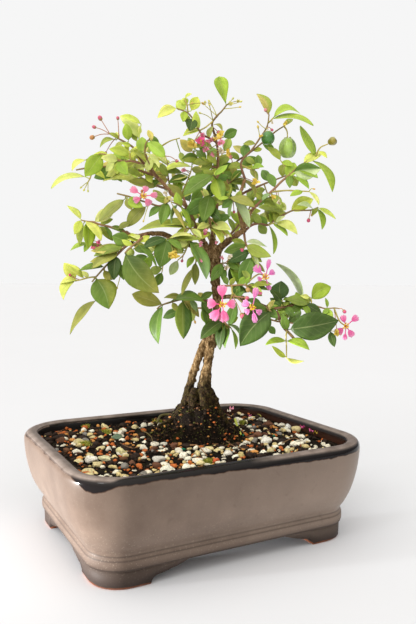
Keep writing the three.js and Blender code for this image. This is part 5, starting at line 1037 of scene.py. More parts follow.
# Parts of the crown that are full of leaves as seen: the tones there, and the outline.
FULL = [(tones, way_of(outline)) for tones, outline in (
    ("LYGLPB", "88 160, 112 149, 130 138, 146 143, 162 153, 168 168, 190 163, 206 168, 212 178, 200 200,"
               " 176 198, 160 186, 130 181, 98 179, 88 172"),
    ("MOGLGM", "198 139, 214 137, 228 153, 236 168, 232 190, 230 214, 236 232, 226 246, 205 246, 190 232,"
               " 176 214, 184 200, 205 186, 212 168, 199 156"),
    ("MOGLGP", "102 228, 128 228, 150 226, 188 224, 204 232, 200 246, 178 259, 160 262, 140 260, 120 260,"
               " 100 250, 97 238"),
    ("DMGDOM", "220 250, 246 247, 256 262, 266 282, 280 300, 268 317, 246 317, 228 300, 222 280"),
    ("MMOGL", "236 168, 256 158, 262 200, 286 204, 284 214, 256 222, 246 222, 236 200"),
    ("DMOG", "268 300, 282 296, 306 297, 318 306, 306 314, 286 314, 270 312"),
)]
FULL_STEP = 7.5
CLEAR_OF_BLOOM, CLEAR_OF_FRUIT, CLEAR_OF_TUFT = 11, 9, 5


def inside(outline, x, y):
    hit = False
    for (xa, ya), (xb, yb) in zip(outline, outline[1:] + outline[:1]):
        if (ya > y) != (yb > y) and x < xa + (y - ya) * (xb - xa) / (yb - ya):
            hit = not hit
    return hit


def things_shown(sprays):
    """What small leaves must not cover: x, y, and how far they stay away."""
    return ([(*place[:2], CLEAR_OF_BLOOM) for place, _, _ in BLOOMS.values()]
            + [(*place[:2], CLEAR_OF_FRUIT) for place, *_ in FRUITS.values()]
            + [(*tuft[:2], CLEAR_OF_TUFT) for spray in sprays for tuft, _ in spray["tufts"]])


def fill_spray(builder, ways, shown_things, draw):
    """Small leaves in pairs along the wood, where the crown is full, behind and between the others."""
    steps = [(start, end, max(1, round(math.hypot(end[0] - start[0], end[1] - start[1]) / FULL_STEP)))
             for way in ways for start, end in zip(way, way[1:])]
    for (x0, y0, _), (x1, y1, _), count in steps:
        for k in range(count):
            t = (k + draw.random()) / count
            x, y = x0 + (x1 - x0) * t, y0 + (y1 - y0) * t
            for side in (-1, 1):
                turn = math.atan2(y1 - y0, x1 - x0) + side * draw.uniform(0.5, 1.5)
                long = draw.uniform(9, 18)
                tip_x, tip_y = x + long * math.cos(turn), y + long * math.sin(turn)
                reach, broad, bow = draw.uniform(-14, 2), draw.uniform(0.34, 0.55), draw.uniform(-1.5, 1.5)
                tones = [tones for tones, outline in FULL if inside(outline, tip_x, tip_y)]
                spots = [(x + (tip_x - x) * part, y + (tip_y - y) * part) for part in (0.35, 0.65, 1)]
                if tones and all(math.hypot(px - a, py - b) >= gap
                                 for a, b, gap in shown_things for px, py in spots):
                    grow_leaf(builder, (x, y, tip_x, tip_y, long * broad, reach, 1, bow),
                              draw.choice(tones[0]), ways, None, draw)


def vectors_of(items, key):
    """One vector for each item of a mesh, as rows of numbers."""
    values = np.empty(len(items) * 3)
    items.foreach_get(key, values)
    return values.reshape(-1, 3)


def build_sprays():
    sprays = read_sprays()
    shown_things = things_shown(sprays)
    for number, spray in enumerate(sprays):
        draw = random.Random(number + SPRAY_SEED)
        builder = Builder()
        name = spray["name"]
        ways = twig_ways(spray)
        points = vectors_of(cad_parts[name].data.vertices, "co") / MM - np.array(POT_MM)
        wood = WOOD_TONES[number % len(WOOD_TONES)]
        grow_twig(builder, spray["stem"], spray["thick"], number, (wood, blend(wood, GREEN_TONE, 0.5)))
        for way in ways[1:]:
            grow_twig(builder, way, TWIG_RADII, number + 0.5, (GREEN_TONE, TIP_TONE))
        for values, letters in spray["leaves"]:
            usual = [] if len(values) > 6 else [1, 0]
            grow_leaf(builder, values + usual, letters, ways, points, draw)
        fill_spray(builder, ways, shown_things, draw)
        for bud in spray["buds"]:
            grow_bud(builder, ways, bud, draw)
        for tuft in spray["tufts"]:
            grow_tuft(builder, ways, tuft, draw)
        slot_name = "leaves_inner" if "back" in name else "leaves"
        builder.make(name + "_fine", [LEAF, TWIG, STAMEN], slot_name, [name])


# ---- trunk
TRUNK_SIDES = 14
TRUNK_VOXEL = 0.00045
TRUNK_THICK_BELOW = 200
TRUNK_THICK_WITHIN = 30
LIMB_ROUGHNESS = 0.4


def roughen(spots, normals):
    """Moves the bark's points out by ridges that run along the wood, and by knobs."""
    for i, spot in enumerate(spots):
        x, y, z = spot / MM
        thick = z < TRUNK_THICK_BELOW and abs(x - POT_MM.x) < TRUNK_THICK_WITHIN
        ridge = noise.fractal(Vector((x * 0.42, y * 0.42, z * 0.13)), 0.9, 2.1, 4)
        knob = max(0.0, noise.noise(Vector((x * 0.3, y * 0.3, z * 0.3)))) ** 2
        spots[i] += normals[i] * ((ridge * 0.5 + knob * 2.2) * (1.0 if thick else LIMB_ROUGHNESS) * MM)


def build_trunk():
    tubes = Builder()
    for number, line in enumerate(rows_of(WOOD)):
        _, places, radii = line.split("|")
        way, thick = smooth_way([seen(p) for p in way_of(places)], numbers(radii), 1.0)
        tubes.tube(tube_rows(way, thick, TRUNK_SIDES, 0.16, number))
    piece = new_object("trunk_fine", tubes.mesh("wood"))
    remesh = piece.modifiers.new("skin", "REMESH")
    remesh.mode = "VOXEL"
    remesh.voxel_size = TRUNK_VOXEL
    soften = piece.modifiers.new("soften", "SMOOTH")
    soften.iterations = 3
    bake(piece)
    mesh = piece.data
    spots = vectors_of(mesh.vertices, "co")
    roughen(spots, vectors_of(mesh.vertex_normals, "vector"))
    mesh.vertices.foreach_set("co", spots.ravel())
    mesh.polygons.foreach_set("use_smooth", [True] * len(mesh.polygons))
    mesh.materials.clear()
    mesh.materials.append(BARK)
    mesh.update()
    settle(piece, "bark", ["trunk"])


def bake(piece):
    """Applies a piece's modifiers."""
    bpy.context.view_layer.update()
    shaped = bpy.data.meshes.new_from_object(
        piece.evaluated_get(bpy.context.evaluated_depsgraph_get()))
    old = piece.data
    piece.modifiers.clear()
    piece.data = shaped
    bpy.data.meshes.remove(old)


# ---- pot
POT_LENGTH = 200
POT_DEPTH = 160.6
POT_HEIGHT = 64.6
POT_CORNER = 36
CORNER_SHRINK = 1.2
CORNER_STEPS = 12
LEAST_CORNER = 0.4
FOOT_HEIGHT = 10.5
FOOT_WIDTH = 15
FOOT_LENGTH_LOW = 31
FOOT_LENGTH_HIGH = 60
FOOT_SCALLOP = 6
FOOT_TAPER_RISE = 2
CURVE_STEPS = 6
# Profiles as (how far inside the pot's outermost line, height); FOOT_EDGE's as seen from the wall's foot.
FOOT_EDGE = [(2.4, 0), (1.7, 0.5), (1.2, 1.2), (0.8, FOOT_HEIGHT + 1)]
OUTER_WALL = [(12.8, FOOT_HEIGHT), (12.1, 12.2), (12.2, 16.4), (13.3, 18.6), (12.7, 20.6), (9.2, 25.5),
              (5, 34), (1.6, 46), (0, 58), (0.5, 62.3), (2.6, 64.2), (4.5, POT_HEIGHT)]
INNER_WALL = [(24, 16), (17, 25), (12, 41), (9.5, 61), (8.4, 63.6), (6.8, POT_HEIGHT - 0.1)]
SOIL_BOTTOM = 17.6
SOIL_LEVEL = 57
SOIL_GAP = 0.4
# The mound in rings: half its width, half its depth, height.
MOUND = [(37, 21, SOIL_LEVEL - 1), (32, 19.5, 60.5), (26.5, 18, 65.5), (21.5, 16.5, 70.5),
         (18, 14.5, 75.5), (14.5, 12, 79.5), (9, 7, 82)]
MOUND_MIDDLE = seen((198, 415, 0))
BACKWARDS = Vector((AWAY.x, AWAY.y, 0)).normalized()


def pot_span(inset):
    """Half the pot's length and depth, and its corner's radius, this far inside its outermost line."""
    return POT_LENGTH / 2 - inset, POT_DEPTH / 2 - inset, POT_CORNER - inset * CORNER_SHRINK


def pot_ring(inset, z, side_steps=10):
    """A ring with rounded corners, this far inside the pot's outermost line."""
    half_x, half_y, corner = pot_span(inset)
    corner = max(corner, LEAST_CORNER)
    ring = []
    for quarter in range(4):
        sx = 1 if quarter in (0, 3) else -1
        sy = 1 if quarter < 2 else -1
        arc = []
        for step in range(CORNER_STEPS + 1):
            turn = (quarter + step / CORNER_STEPS) * math.pi / 2
            arc.append(Vector((sx * (half_x - corner) + corner * math.cos(turn),
                               sy * (half_y - corner) + corner * math.sin(turn), z)))
        if ring:
            ring += [ring[-1].lerp(arc[0], k / side_steps) for k in range(1, side_steps)]
        ring += arc
    return ring + [ring[-1].lerp(ring[0], k / side_steps) for k in range(1, side_steps)]


def inner_inset(z):
    """How far the inside of the wall lies inside the pot's outermost line at a height."""
    return float(np.interp(z, [h for _, h in INNER_WALL], [i for i, _ in INNER_WALL]))


def curve(start, middle, end):
    """Places after the start on a curve to the end that turns towards the middle."""
    return [tuple((1 - t) ** 2 * a + 2 * t * (1 - t) * b + t * t * c for a, b, c in zip(start, middle, end))
            for t in (k / CURVE_STEPS for k in range(1, CURVE_STEPS + 1))]


def arch_outline(half_side):
    """The clear way between two feet, which end in a scallop and a long taper, as (along, up)."""
    low, high = half_side - FOOT_LENGTH_LOW, half_side - FOOT_LENGTH_HIGH
    half, top = FOOT_HEIGHT / 2, FOOT_HEIGHT + 2
    ear = (low - FOOT_SCALLOP, half)
    taper = ((ear[0] + high) / 2, half + FOOT_TAPER_RISE)
    right = [(low, -1), *curve((low, -1), (low, half), ear), *curve(ear, taper, (high, top))]
    return right + [(-a, b) for a, b in reversed(right)]


def face_out(mesh):
    shape = bmesh.new()
    shape.from_mesh(mesh)
    bmesh.ops.recalc_face_normals(shape, faces=shape.faces)
    shape.to_mesh(mesh)
    shape.free()


def solid_piece(name, rows):
    """A closed shape over rings, to cut or join with."""
    builder = Builder()
    builder.tube(rows)
    piece = new_object(name, new_mesh(name, builder.points, builder.faces))
    face_out(piece.data)
    return piece


def feet_shape():
    """Points and faces of the four feet: a skirt under the base, cut hollow and by an arch each way."""
    base = OUTER_WALL[0][0]
    arch_x = [[Vector((a, side * POT_DEPTH, b)) for a, b in arch_outline(POT_LENGTH / 2 - base)]
              for side in (-1, 1)]
    arch_y = [[Vector((-side * POT_LENGTH, a, b)) for a, b in arch_outline(POT_DEPTH / 2 - base)]
              for side in (-1, 1)]
    feet = solid_piece("feet", [pot_ring(base + inset, z) for inset, z in FOOT_EDGE])
    cutters = [solid_piece("inside", [pot_ring(base + FOOT_WIDTH, z) for z in (-1, FOOT_HEIGHT + 2)]),
               solid_piece("arch_x", arch_x), solid_piece("arch_y", arch_y)]
    for cutter in cutters:
        cut = feet.modifiers.new("cut", "BOOLEAN")
        cut.operation = "DIFFERENCE"
        cut.object = cutter
    bake(feet)
    points = [v.co.copy() for v in feet.data.vertices]
    faces = [tuple(f.vertices) for f in feet.data.polygons]
    for piece in [feet, *cutters]:
        bpy.data.objects.remove(piece)
    return points, faces


# How low the dark glaze runs down the wall, in mm, from one end of the pot to the other.
DRIP_EDGE = [(0, 62), (0.010, 60.8), (0.022, 59), (0.032, 57.2), (0.052, 56.7), (0.074, 57.6), (0.092, 59.8),
             (0.108, 61.2), (0.20, 61.6), (0.34, 61.2), (0.42, 60.8), (0.52, 59.8), (0.66, 59.2), (0.82, 59),
             (0.94, 60), (1, 62)]
SIDE_DRIP_EDGE = 0.0627
# Heights of the wall's steps, marked with thin dark lines of painted shade.
SHADED_STEP_LINES = (0.0187, 0.0165, 0.0112)


def clay(look, z, cloud, share, shaded_low_ring):
    """The wall below the glaze: paler to the right by painted light, gritty low down, and darkened by painted
    shade in its steps, on its low ring and at its feet.
    """
    streak = look.noise(150, 4, (1, 1, 0.18))
    body = look.ramp(look.plus(look.times(cloud, 0.8), look.times(streak, 0.2)),
                     [(0.30, (0.128, 0.086, 0.064)), (0.50, (0.168, 0.118, 0.090)),
                      (0.70, (0.208, 0.149, 0.114))])
    grit = look.ramp(look.noise(1100, 3), [(0.60, 0.0), (0.68, 1.0)])
    worn = look.ramp(look.noise(210, 5), [(0.60, 0.0), (0.78, 0.3)])
    # Painted shade on the feet, darkest at the bottom.
    foot = look.ramp(look.times(z, 50), [(0.10, 0.9), (0.42, 0.66), (0.56, 0.42), (0.72, 0.0)])
    # Painted light makes the wall paler to the right; painted shade darkens the low ring and the feet.
    for amount, tone in ((look.times(share, 0.55), (0.46, 0.365, 0.30)),
                         (look.span(z, 0.034, 0.060, 0.0, 0.4), (0.085, 0.060, 0.046)),
                         (look.times(grit, look.span(z, 0.038, 0.016, 0.08, 0.6)), (0.46, 0.38, 0.29)),
                         (worn, (0.095, 0.062, 0.046)), (shaded_low_ring, (0.075, 0.052, 0.042)),
                         (foot, (0.030, 0.020, 0.017))):
        body = look.mix(amount, body, tone)
    # Painted shade: a thin dark line at each step.
    for height in SHADED_STEP_LINES:
        groove_shade = look.span(look.distance(z, height), 0.0007, 0.0001, 0.0, 0.5)
        body = look.mix(groove_shade, body, (0.036, 0.025, 0.020))
    return body


def above_glaze_edge(look, x, y, z, share):
    """How far a place lies above the ragged edge of the dark glaze."""
    edge = look.times(look.ramp(share, [(at, mm / 100) for at, mm in DRIP_EDGE]), 0.1)
    at_side = look.times(look.span(y, POT_PLACE.y - 0.066, POT_PLACE.y - 0.050),
                         look.less(x, POT_PLACE.x - 0.078))
    edge = look.mix(at_side, edge, SIDE_DRIP_EDGE)
    ragged = look.times(look.minus(look.noise(90, 3, (1, 1, 0.3)), 0.5), 0.003)
    return look.plus(look.minus(z, edge), ragged)


def rim_clay_and_sheen_mask(look, y, z, share, upward):
    """1 on top of the rim, where the clay shows with a painted sheen from above; 0 along its front left, where
    the glaze is dark.
    """
    lip = look.span(upward, 0.45, 0.85)
    high = look.span(z, 0.0625, 0.0638)
    inner_line = look.span(share, 0.26, 0.34, 0.0745, 0.0700)
    at_front = look.span(look.minus(POT_PLACE.y, y, inner_line), -0.0007, 0.0007)
    to_left = look.span(share, 0.62, 0.5)
    return look.times(lip, high, look.minus(1.0, look.times(at_front, to_left)))


def on_inner_wall(look, place, z, normal, upward):
    """1 where the wall faces the middle of the pot."""
    from_middle = look.node("VectorMath", {0: place, 1: (POT_PLACE.x, POT_PLACE.y, 0)},
                            operation="SUBTRACT").outputs["Vector"]
    outward = look.node("VectorMath", {0: normal, 1: from_middle}, operation="DOT_PRODUCT").outputs["Value"]
    inner = look.times(look.less(outward, 0.03), look.less(upward, 0.45))
    return look.times(inner, look.maths("GREATER_THAN", z, 0.034))


def pot_look():
    """Brown clay with a dark glaze that runs down from the rim, bare under the feet."""
    look = Look("glaze", 0.3, Specular_IOR_Level=0.2)
    place = look.place()
    x, y, z = look.parts(place)
    normal = look.node("NewGeometry").outputs["Normal"]
    upward = look.parts(normal)[2]
    cloud = look.noise(48, 4)
    share = look.span(x, POT_PLACE.x - 0.1, POT_PLACE.x + 0.1)
    # Painted shade and a painted dark reflection on the low ring of the wall; the same mask also makes it
    # rougher.
    shaded_low_ring = look.span(look.plus(z, look.times(cloud, 0.004)), 0.0245, 0.0195, 0.0, 0.34)
    above = above_glaze_edge(look, x, y, z, share)
    band = look.span(above, 0.0, 0.0007)
    glossy = look.mix(look.span(above, 0.0002, 0.0010), (0.055, 0.024, 0.012), (0.008, 0.006, 0.006))
    body = look.mix(band, clay(look, z, cloud, share, shaded_low_ring), glossy)

    red = look.times(look.span(x, POT_PLACE.x + 0.02, POT_PLACE.x + 0.07), look.span(z, 0.0625, 0.0590))
    inner_tone = look.mix(red, (0.008, 0.007, 0.007), (0.045, 0.016, 0.009))
    body = look.mix(on_inner_wall(look, place, z, normal, upward), body, inner_tone)
    rim_clay_and_sheen = rim_clay_and_sheen_mask(look, y, z, share, upward)
    # The rim's top: the clay's colour with a painted sheen, lighter where it faces up.
    rim = look.ramp(look.noise(130, 4), [(0.35, (0.155, 0.118, 0.098)), (0.65, (0.255, 0.205, 0.178))])
    body = look.mix(rim_clay_and_sheen, body, rim)
    bare = look.span(look.plus(z, look.times(cloud, 0.003)), 0.0030, 0.0018)
    look.colour(look.mix(bare, body, (0.30, 0.10, 0.045)))
    dull = look.maths("MAXIMUM", look.span(band, 0.0, 1.0, 0.38, 0.1), look.times(shaded_low_ring, 1.8))
    look.rough(look.mix(rim_clay_and_sheen, dull, 0.30))
    look.bump(look.plus(cloud, look.times(look.noise(700, 2), 0.05)), 0.0010, 0.3)
    return look.material


def build_pot():
    builder = Builder()
    profile = [Vector((inset, 0, z)) for inset, z in OUTER_WALL + INNER_WALL[::-1]]
    smooth, _ = smooth_way(profile, [1, 1], 1.5)
    builder.tube([pot_ring(p.x, p.z) for p in smooth])
    builder.add(*feet_shape())
    pot = builder.make("pot_fine", [pot_look()], "glaze", ["pot"])
    face_out(pot.data)


# ---- soil
STONE_COUNT = 49
STONE_RADIUS = 3.1
STONE_STRAY = 0.7
STONE_EDGE = 1.5
MOUND_MARGIN = 1.05
MOUND_RINGS = 75
MOUND_SECTORS = 220
MOUND_SKIN_END = 1.22
SOIL_RINGS = 80
HEAP_HEIGHT = 2.2


def seeded(state):
    """The same numbers from 0 to 1 that the solids were laid out with."""
    while True:
        state = (state * 1664525 + 1013904223) % 4294967296
        yield state / 4294967296


def in_mound(x, y):
    """Where a place lies from the mound's middle: to the right and backwards."""
    out = Vector((x - MOUND_MIDDLE.x, y - MOUND_MIDDLE.y, 0))
    return out.dot(LEVEL), out.dot(BACKWARDS)


def from_mound(x, y):
    """How far a place is from the mound's middle, 1 at the foot of the mound."""
    a, b = in_mound(x, y)
    return math.hypot(a / MOUND[0][0], b / MOUND[0][1])


def mound_place(out, turn):
    """The place at a turn round the mound's middle, out being 1 at the foot of the mound."""
    return (MOUND_MIDDLE + LEVEL * (MOUND[0][0] * out * math.cos(turn))
            + BACKWARDS * (MOUND[0][1] * out * math.sin(turn)))


def heap(x, y):
    """How much higher the soil lies towards the far left corner, clear of the mound."""
    return HEAP_HEIGHT * unit((from_mound(x, y) - 1) / 0.4) * unit((y - 0.6 * x + 10) / 70)


def ground_height(x, y):
    """Height of the bed or the mound at a place, without its clods."""
    a, b = in_mound(x, y)
    before = None
    for half_a, half_b, z in MOUND:
        share = math.hypot(a / half_a, b / half_b)
        if share > 1:
            if before is None:
                return SOIL_LEVEL + heap(x, y)
            return before[1] + (z - before[1]) * (1 - before[0]) / (share - before[0])
        before = (share, z)
    return MOUND[-1][2]


def within(x, y, margin):
    """Whether a place on the soil is at least margin inside the wall."""
    half_x, half_y, corner = pot_span(inner_inset(SOIL_LEVEL) + margin)
    past = math.hypot(max(abs(x) - half_x + corner, 0), max(abs(y) - half_y + corner, 0))
    return past < corner and abs(x) < half_x and abs(y) < half_y


def soil_look():
    look = Look("soil", 0.95, Specular_IOR_Level=0.1)
    grain = look.noise(1500, 6, rough=0.7)
    clods = look.noise(330, 4, rough=0.7)
    earth = look.ramp(look.plus(look.times(grain, 0.5), look.times(clods, 0.5)),
                      [(0.40, (0.003, 0.002, 0.0015)), (0.54, (0.014, 0.009, 0.006)),
                       (0.65, (0.042, 0.026, 0.015)), (0.76, (0.15, 0.10, 0.05))])
    moss = look.ramp(look.noise(150, 5), [(0.54, 0.0), (0.66, 1.0)])
    look.colour(look.mix(look.times(moss, 0.25), earth, (0.055, 0.060, 0.014)))
    look.bump(look.plus(grain, clods), 0.0016, 1.0)
    return look.material


def rough_ground(p):
    """Height of the soil at a place, with its clods, which are larger near the mound."""
    near = unit((1.35 - from_mound(p.x, p.y)) / 0.5)
    lumps = noise.turbulence(Vector((p.x, p.y, 0)) * 0.28, 3, False) - 0.55
    return ground_height(p.x, p.y) + lumps * (0.9 + 1.8 * near) - 0.4 + 0.6 * near


def mound_skin():
    """The mound's crumbly surface: rings round its middle, sunk at the outermost."""
    rows = []
    for ring in range(MOUND_RINGS + 1):
        out = MOUND_SKIN_END * ring / MOUND_RINGS
        row = []
        for k in range(MOUND_SECTORS):
            p = mound_place(max(out, 0.01), 2 * math.pi * k / MOUND_SECTORS)
            p.z = 0
            near, _ = noise.voronoi(p * 0.42)
            fine, _ = noise.voronoi(p * 1.15)
            p.z = (rough_ground(p) + 1.5 * (0.5 - near[0]) + 0.5 * (0.5 - fine[0])
                   - 2.5 * max(0.0, (out - 1.0) / 0.22))
            row.append(p)
        rows.append(row)
    return rows


def build_soil():
    """The bed in rings from its bottom over its edge to its middle, and the mound's skin over it."""
    builder = Builder()
    builder.tube(mound_skin(), caps=False)
    edge = [(inner_inset(z) + SOIL_GAP, z) for z in (SOIL_BOTTOM, 24, 39, 54, SOIL_LEVEL)]
    top = edge[-1][0]
    deepest = POT_DEPTH / 2 - 0.5
    rows = [pot_ring(inset, z, side_steps=30) for inset, z in edge]
    for step in range(1, SOIL_RINGS + 1):
        ring = pot_ring(top + (deepest - top) * step / SOIL_RINGS, SOIL_LEVEL, side_steps=30)
        for p in ring:
            p.z = rough_ground(p) - 3.5 * unit((1.08 - from_mound(p.x, p.y)) / 0.12)
        rows.append(ring)
    builder.tube(rows)
    builder.make("soil_fine", [soil_look()], "soil", ["soil"])


def on_soil(x, y, lift=0.0):
    """The place on the soil that is seen at x, y in view units."""
    ray = (seen((x, y, 0)) - EYE).normalized()
    height = SOIL_LEVEL
    for _ in range(12):
        spot = EYE + ray * ((height - EYE.z) / ray.z)
        height += (ground_height(spot.x, spot.y) - height) * 0.5
    while not within(spot.x, spot.y, 2):
        spot *= 0.98
    return Vector((spot.x, spot.y, ground_height(spot.x, spot.y) + lift))


def pebble_shapes(draw, detail, count, chips):
    """A few chipped pebbles of unit size, as (points, faces)."""
    shapes = []
    for _ in range(count):
        shape = bmesh.new()
        bmesh.ops.create_icosphere(shape, subdivisions=detail, radius=1)
        shift = Vector((draw.uniform(-9, 9), draw.uniform(-9, 9), 0))
        cuts = [(any_way(draw), draw.uniform(0.5, 0.85)) for _ in range(chips)]
        for v in shape.verts:
            v.co *= 1 + 0.3 * noise.noise(v.co * 1.1 + shift) + 0.1 * noise.noise(v.co * 3.1 + shift)
            for way, reach in cuts:
                v.co -= way * (max(0.0, v.co.dot(way) - reach) * 0.9)
            v.co *= 1 + draw.uniform(-0.02, 0.02)
        shape.verts.index_update()
        shapes.append(([v.co.copy() for v in shape.verts],
                       [tuple(v.index for v in f.verts) for f in shape.faces]))
        shape.free()
    return shapes


# Pebbles: their shape, least and greatest radius in mm, how many, nearest and farthest from the mound,
# how close they lie, tones with their weights.
PEBBLES = [
    (0, 2.5, 3.5, 80, 1.02, 99, 0.95,
     [(60, (255, 249, 228)), (34, (238, 222, 166)), (6, (142, 138, 130)), (26, (44, 34, 30)),
      (8, (120, 80, 60))]),
    (1, 1.5, 2.4, 380, 0.98, 99, 0.8,
     [(46, (255, 248, 224)), (28, (234, 214, 154)), (4, (138, 134, 128)), (36, (42, 31, 26)),
      (14, (112, 76, 52)), (12, (202, 112, 56)), (8, (222, 156, 84))]),
    (2, 0.7, 1.4, 1150, 0.0, 99, 0.6,
     [(18, (246, 238, 214)), (14, (218, 194, 136)), (46, (36, 26, 20)), (22, (88, 58, 38)),
      (20, (204, 108, 52)), (14, (218, 154, 84))]),
    (2, 0.45, 1.2, 900, 0.0, 1.12, 0.5,
     [(50, (38, 28, 20)), (26, (70, 48, 30)), (12, (120, 76, 44)), (8, (160, 126, 78)),
      (6, (96, 98, 42))]),
]
PALE_FROM = 480
BED_REACH = (90, 72)
MOUND_REACH = (48, 44)
PEBBLE_TRIES = 8
# Single pebbles that stand out: x and y in view units, radius in mm, tone.
PLACED_PEBBLES = [
    (266, 441, 4.4, (240, 238, 226)), (117, 438, 3.0, (112, 136, 112)), (183, 449, 1.5, (28, 128, 96)),
    (250, 425, 1.3, (24, 122, 92)), (243, 435, 1.1, (30, 128, 98)), (274, 436, 1.3, (30, 116, 90)),
    (91, 461, 4.0, (244, 240, 226)), (121, 452, 3.6, (222, 214, 160)), (158, 460, 4.0, (244, 240, 228)),
    (105, 459, 3.4, (226, 222, 178)), (290, 427, 3.6, (236, 236, 230)), (228, 454, 3.2, (240, 236, 222)),
    (240, 455, 3.0, (214, 196, 130)), (164, 444, 2.8, (240, 236, 220)), (216, 460, 2.6, (206, 96, 56)),
]


def solid_stones():
    """Places and radii of the low stones that the soil's solid has."""
    rand = seeded(STONE_SEED)
    span_x, span_y, corner = pot_span(inner_inset(SOIL_LEVEL) + STONE_RADIUS + STONE_EDGE)
    columns = round(math.sqrt(STONE_COUNT * span_x / span_y))
    lines = round(STONE_COUNT / columns)
    for cell in range(columns * lines):
        stray_x, stray_y, size, _ = (next(rand) for _ in range(4))
        x = span_x * (2 * (cell % columns + 0.5 + STONE_STRAY * (stray_x - 0.5)) / columns - 1)
        y = span_y * (2 * (cell // columns + 0.5 + STONE_STRAY * (stray_y - 0.5)) / lines - 1)
        past = math.hypot(max(abs(x) - span_x + corner, 0), max(abs(y) - span_y + corner, 0))
        if from_mound(x, y) > MOUND_MARGIN and past < corner:
            yield x, y, STONE_RADIUS * (0.75 + 0.5 * size)


def pebble_tone(draw, tones, x, y):
    """Pale tones are rarer near the mound, at the far left and in dark patches."""
    bright = noise.noise(Vector((x * 0.05, y * 0.05, 3)))
    near = max(0.0, 1.55 - from_mound(x, y))
    far_left = unit((y - 0.6 * x - 10) / 60)
    pale = math.exp(2.2 * bright - 3 * near - 0.9 * far_left)
    weights = [weight * (pale if sum(tone) > PALE_FROM else 1) for weight, tone in tones]
    return draw.choices([tone for _, tone in tones], weights)[0]


def lay_pebble(builder, draw, shapes, x, y, radius, sink, tone):
    """A pebble turned and stretched by chance, its middle sunk by a share of its radius."""
    points, faces = draw.choice(shapes)
    turn = Matrix.Rotation(draw.uniform(0, 6.3), 3, Vector((draw.gauss(0, 1), draw.gauss(0, 1),
                                                            draw.gauss(0, 2))).normalized())
    stretch = Vector((radius * draw.uniform(1.0, 1.45), radius * draw.uniform(0.75, 1.0),
                      radius * draw.uniform(0.6, 0.85)))
    spun = Matrix.Rotation(draw.uniform(0, 6.3), 3, "Z")
    middle = Vector((x, y, rough_ground(Vector((x, y, 0))) + radius * sink))
    colour = lit(linear(tone), draw.uniform(0.8, 1.08))
    builder.add([middle + spun @ Vector([a * b for a, b in zip(turn @ p, stretch)]) for p in points],
                faces, colour)


def build_pebbles():
    """Pebbles that stand out, then those over the solid's stones, then smaller ones where there is room."""
    draw = random.Random(PEBBLE_SEED)
    kinds = [pebble_shapes(draw, 3, 10, 7), pebble_shapes(draw, 2, 12, 6), pebble_shapes(draw, 1, 6, 0)]
    builder = Builder()
    laid = []

    def lay(x, y, radius, sink, kind, tone):
        lay_pebble(builder, draw, kinds[kind], x, y, radius, sink, tone)
        laid.append((x, y, radius))

    for x, y, radius, tone in PLACED_PEBBLES:
        spot = on_soil(x, y)
        lay(spot.x, spot.y, radius, 0.35, 0, tone)
    for x, y, radius in solid_stones():
        lay(x, y, radius, -0.05, 0, pebble_tone(draw, PEBBLES[0][-1], x, y))
    for kind, least, most, count, nearest, farthest, closeness, tones in PEBBLES:
        on_bed = farthest > 2
        reach_x, reach_y = BED_REACH if on_bed else MOUND_REACH
        start_x, start_y = (0, 0) if on_bed else (MOUND_MIDDLE.x, MOUND_MIDDLE.y)
        for _ in range(count):
            for _ in range(PEBBLE_TRIES):
                x, y = start_x + draw.uniform(-reach_x, reach_x), start_y + draw.uniform(-reach_y, reach_y)
                radius = least + (most - least) * draw.random() ** 1.4
                if (nearest < from_mound(x, y) < farthest and within(x, y, radius * 0.9)
                        and all((x - a) ** 2 + (y - b) ** 2 > ((r + radius) * closeness) ** 2
                                for a, b, r in laid)):
                    lay(x, y, radius, draw.uniform(0.05, 0.5), kind, pebble_tone(draw, tones, x, y))
                    break
    look = plain_look("pebble", 0.8, 900, 0.0006, Specular_IOR_Level=0.15)
    builder.make("pebbles", [look], "soil")


# Twigs and roots that lie on the soil: places in view units, thickness in mm, colour.
LYING_TWIGS = [
    ("235 422, 238 431, 241 437", 0.95, (196, 204, 78)), ("190 441, 198 449, 207 459", 0.5, (160, 118, 78)),
    ("261 419, 266 415, 270 412", 0.45, (170, 160, 70)), ("206 409, 205.5 416, 209 423", 0.5, (216, 220, 130)),
    ("206 416, 210 411", 0.4, (216, 220, 130)), ("176 411, 168 414, 161 419, 157 426", 1.5, (96, 88, 38)),
    ("226 443, 234 449, 246 452", 0.35, (120, 90, 60)), ("120 446, 131 451, 140 450", 0.35, (110, 80, 52)),
    ("282 446, 293 441, 301 443", 0.35, (140, 104, 66)), ("142 433, 150 438, 153 445", 0.3, (128, 110, 60)),
]
# Fallen petals and scraps: x and y in view units, size in mm, colour.
LYING_PETALS = [
    (233, 412, 3.2, (236, 150, 176)), (250, 420, 2.8, (238, 130, 170)), (316, 431, 3.4, (232, 90, 160)),
    (321, 435, 2.8, (236, 110, 170)), (229, 415, 2.6, (240, 226, 210)), (331, 437, 3.0, (236, 200, 70)),
]
LITTER_LIFT = 1.8
LYING_PETAL_ROWS = 5


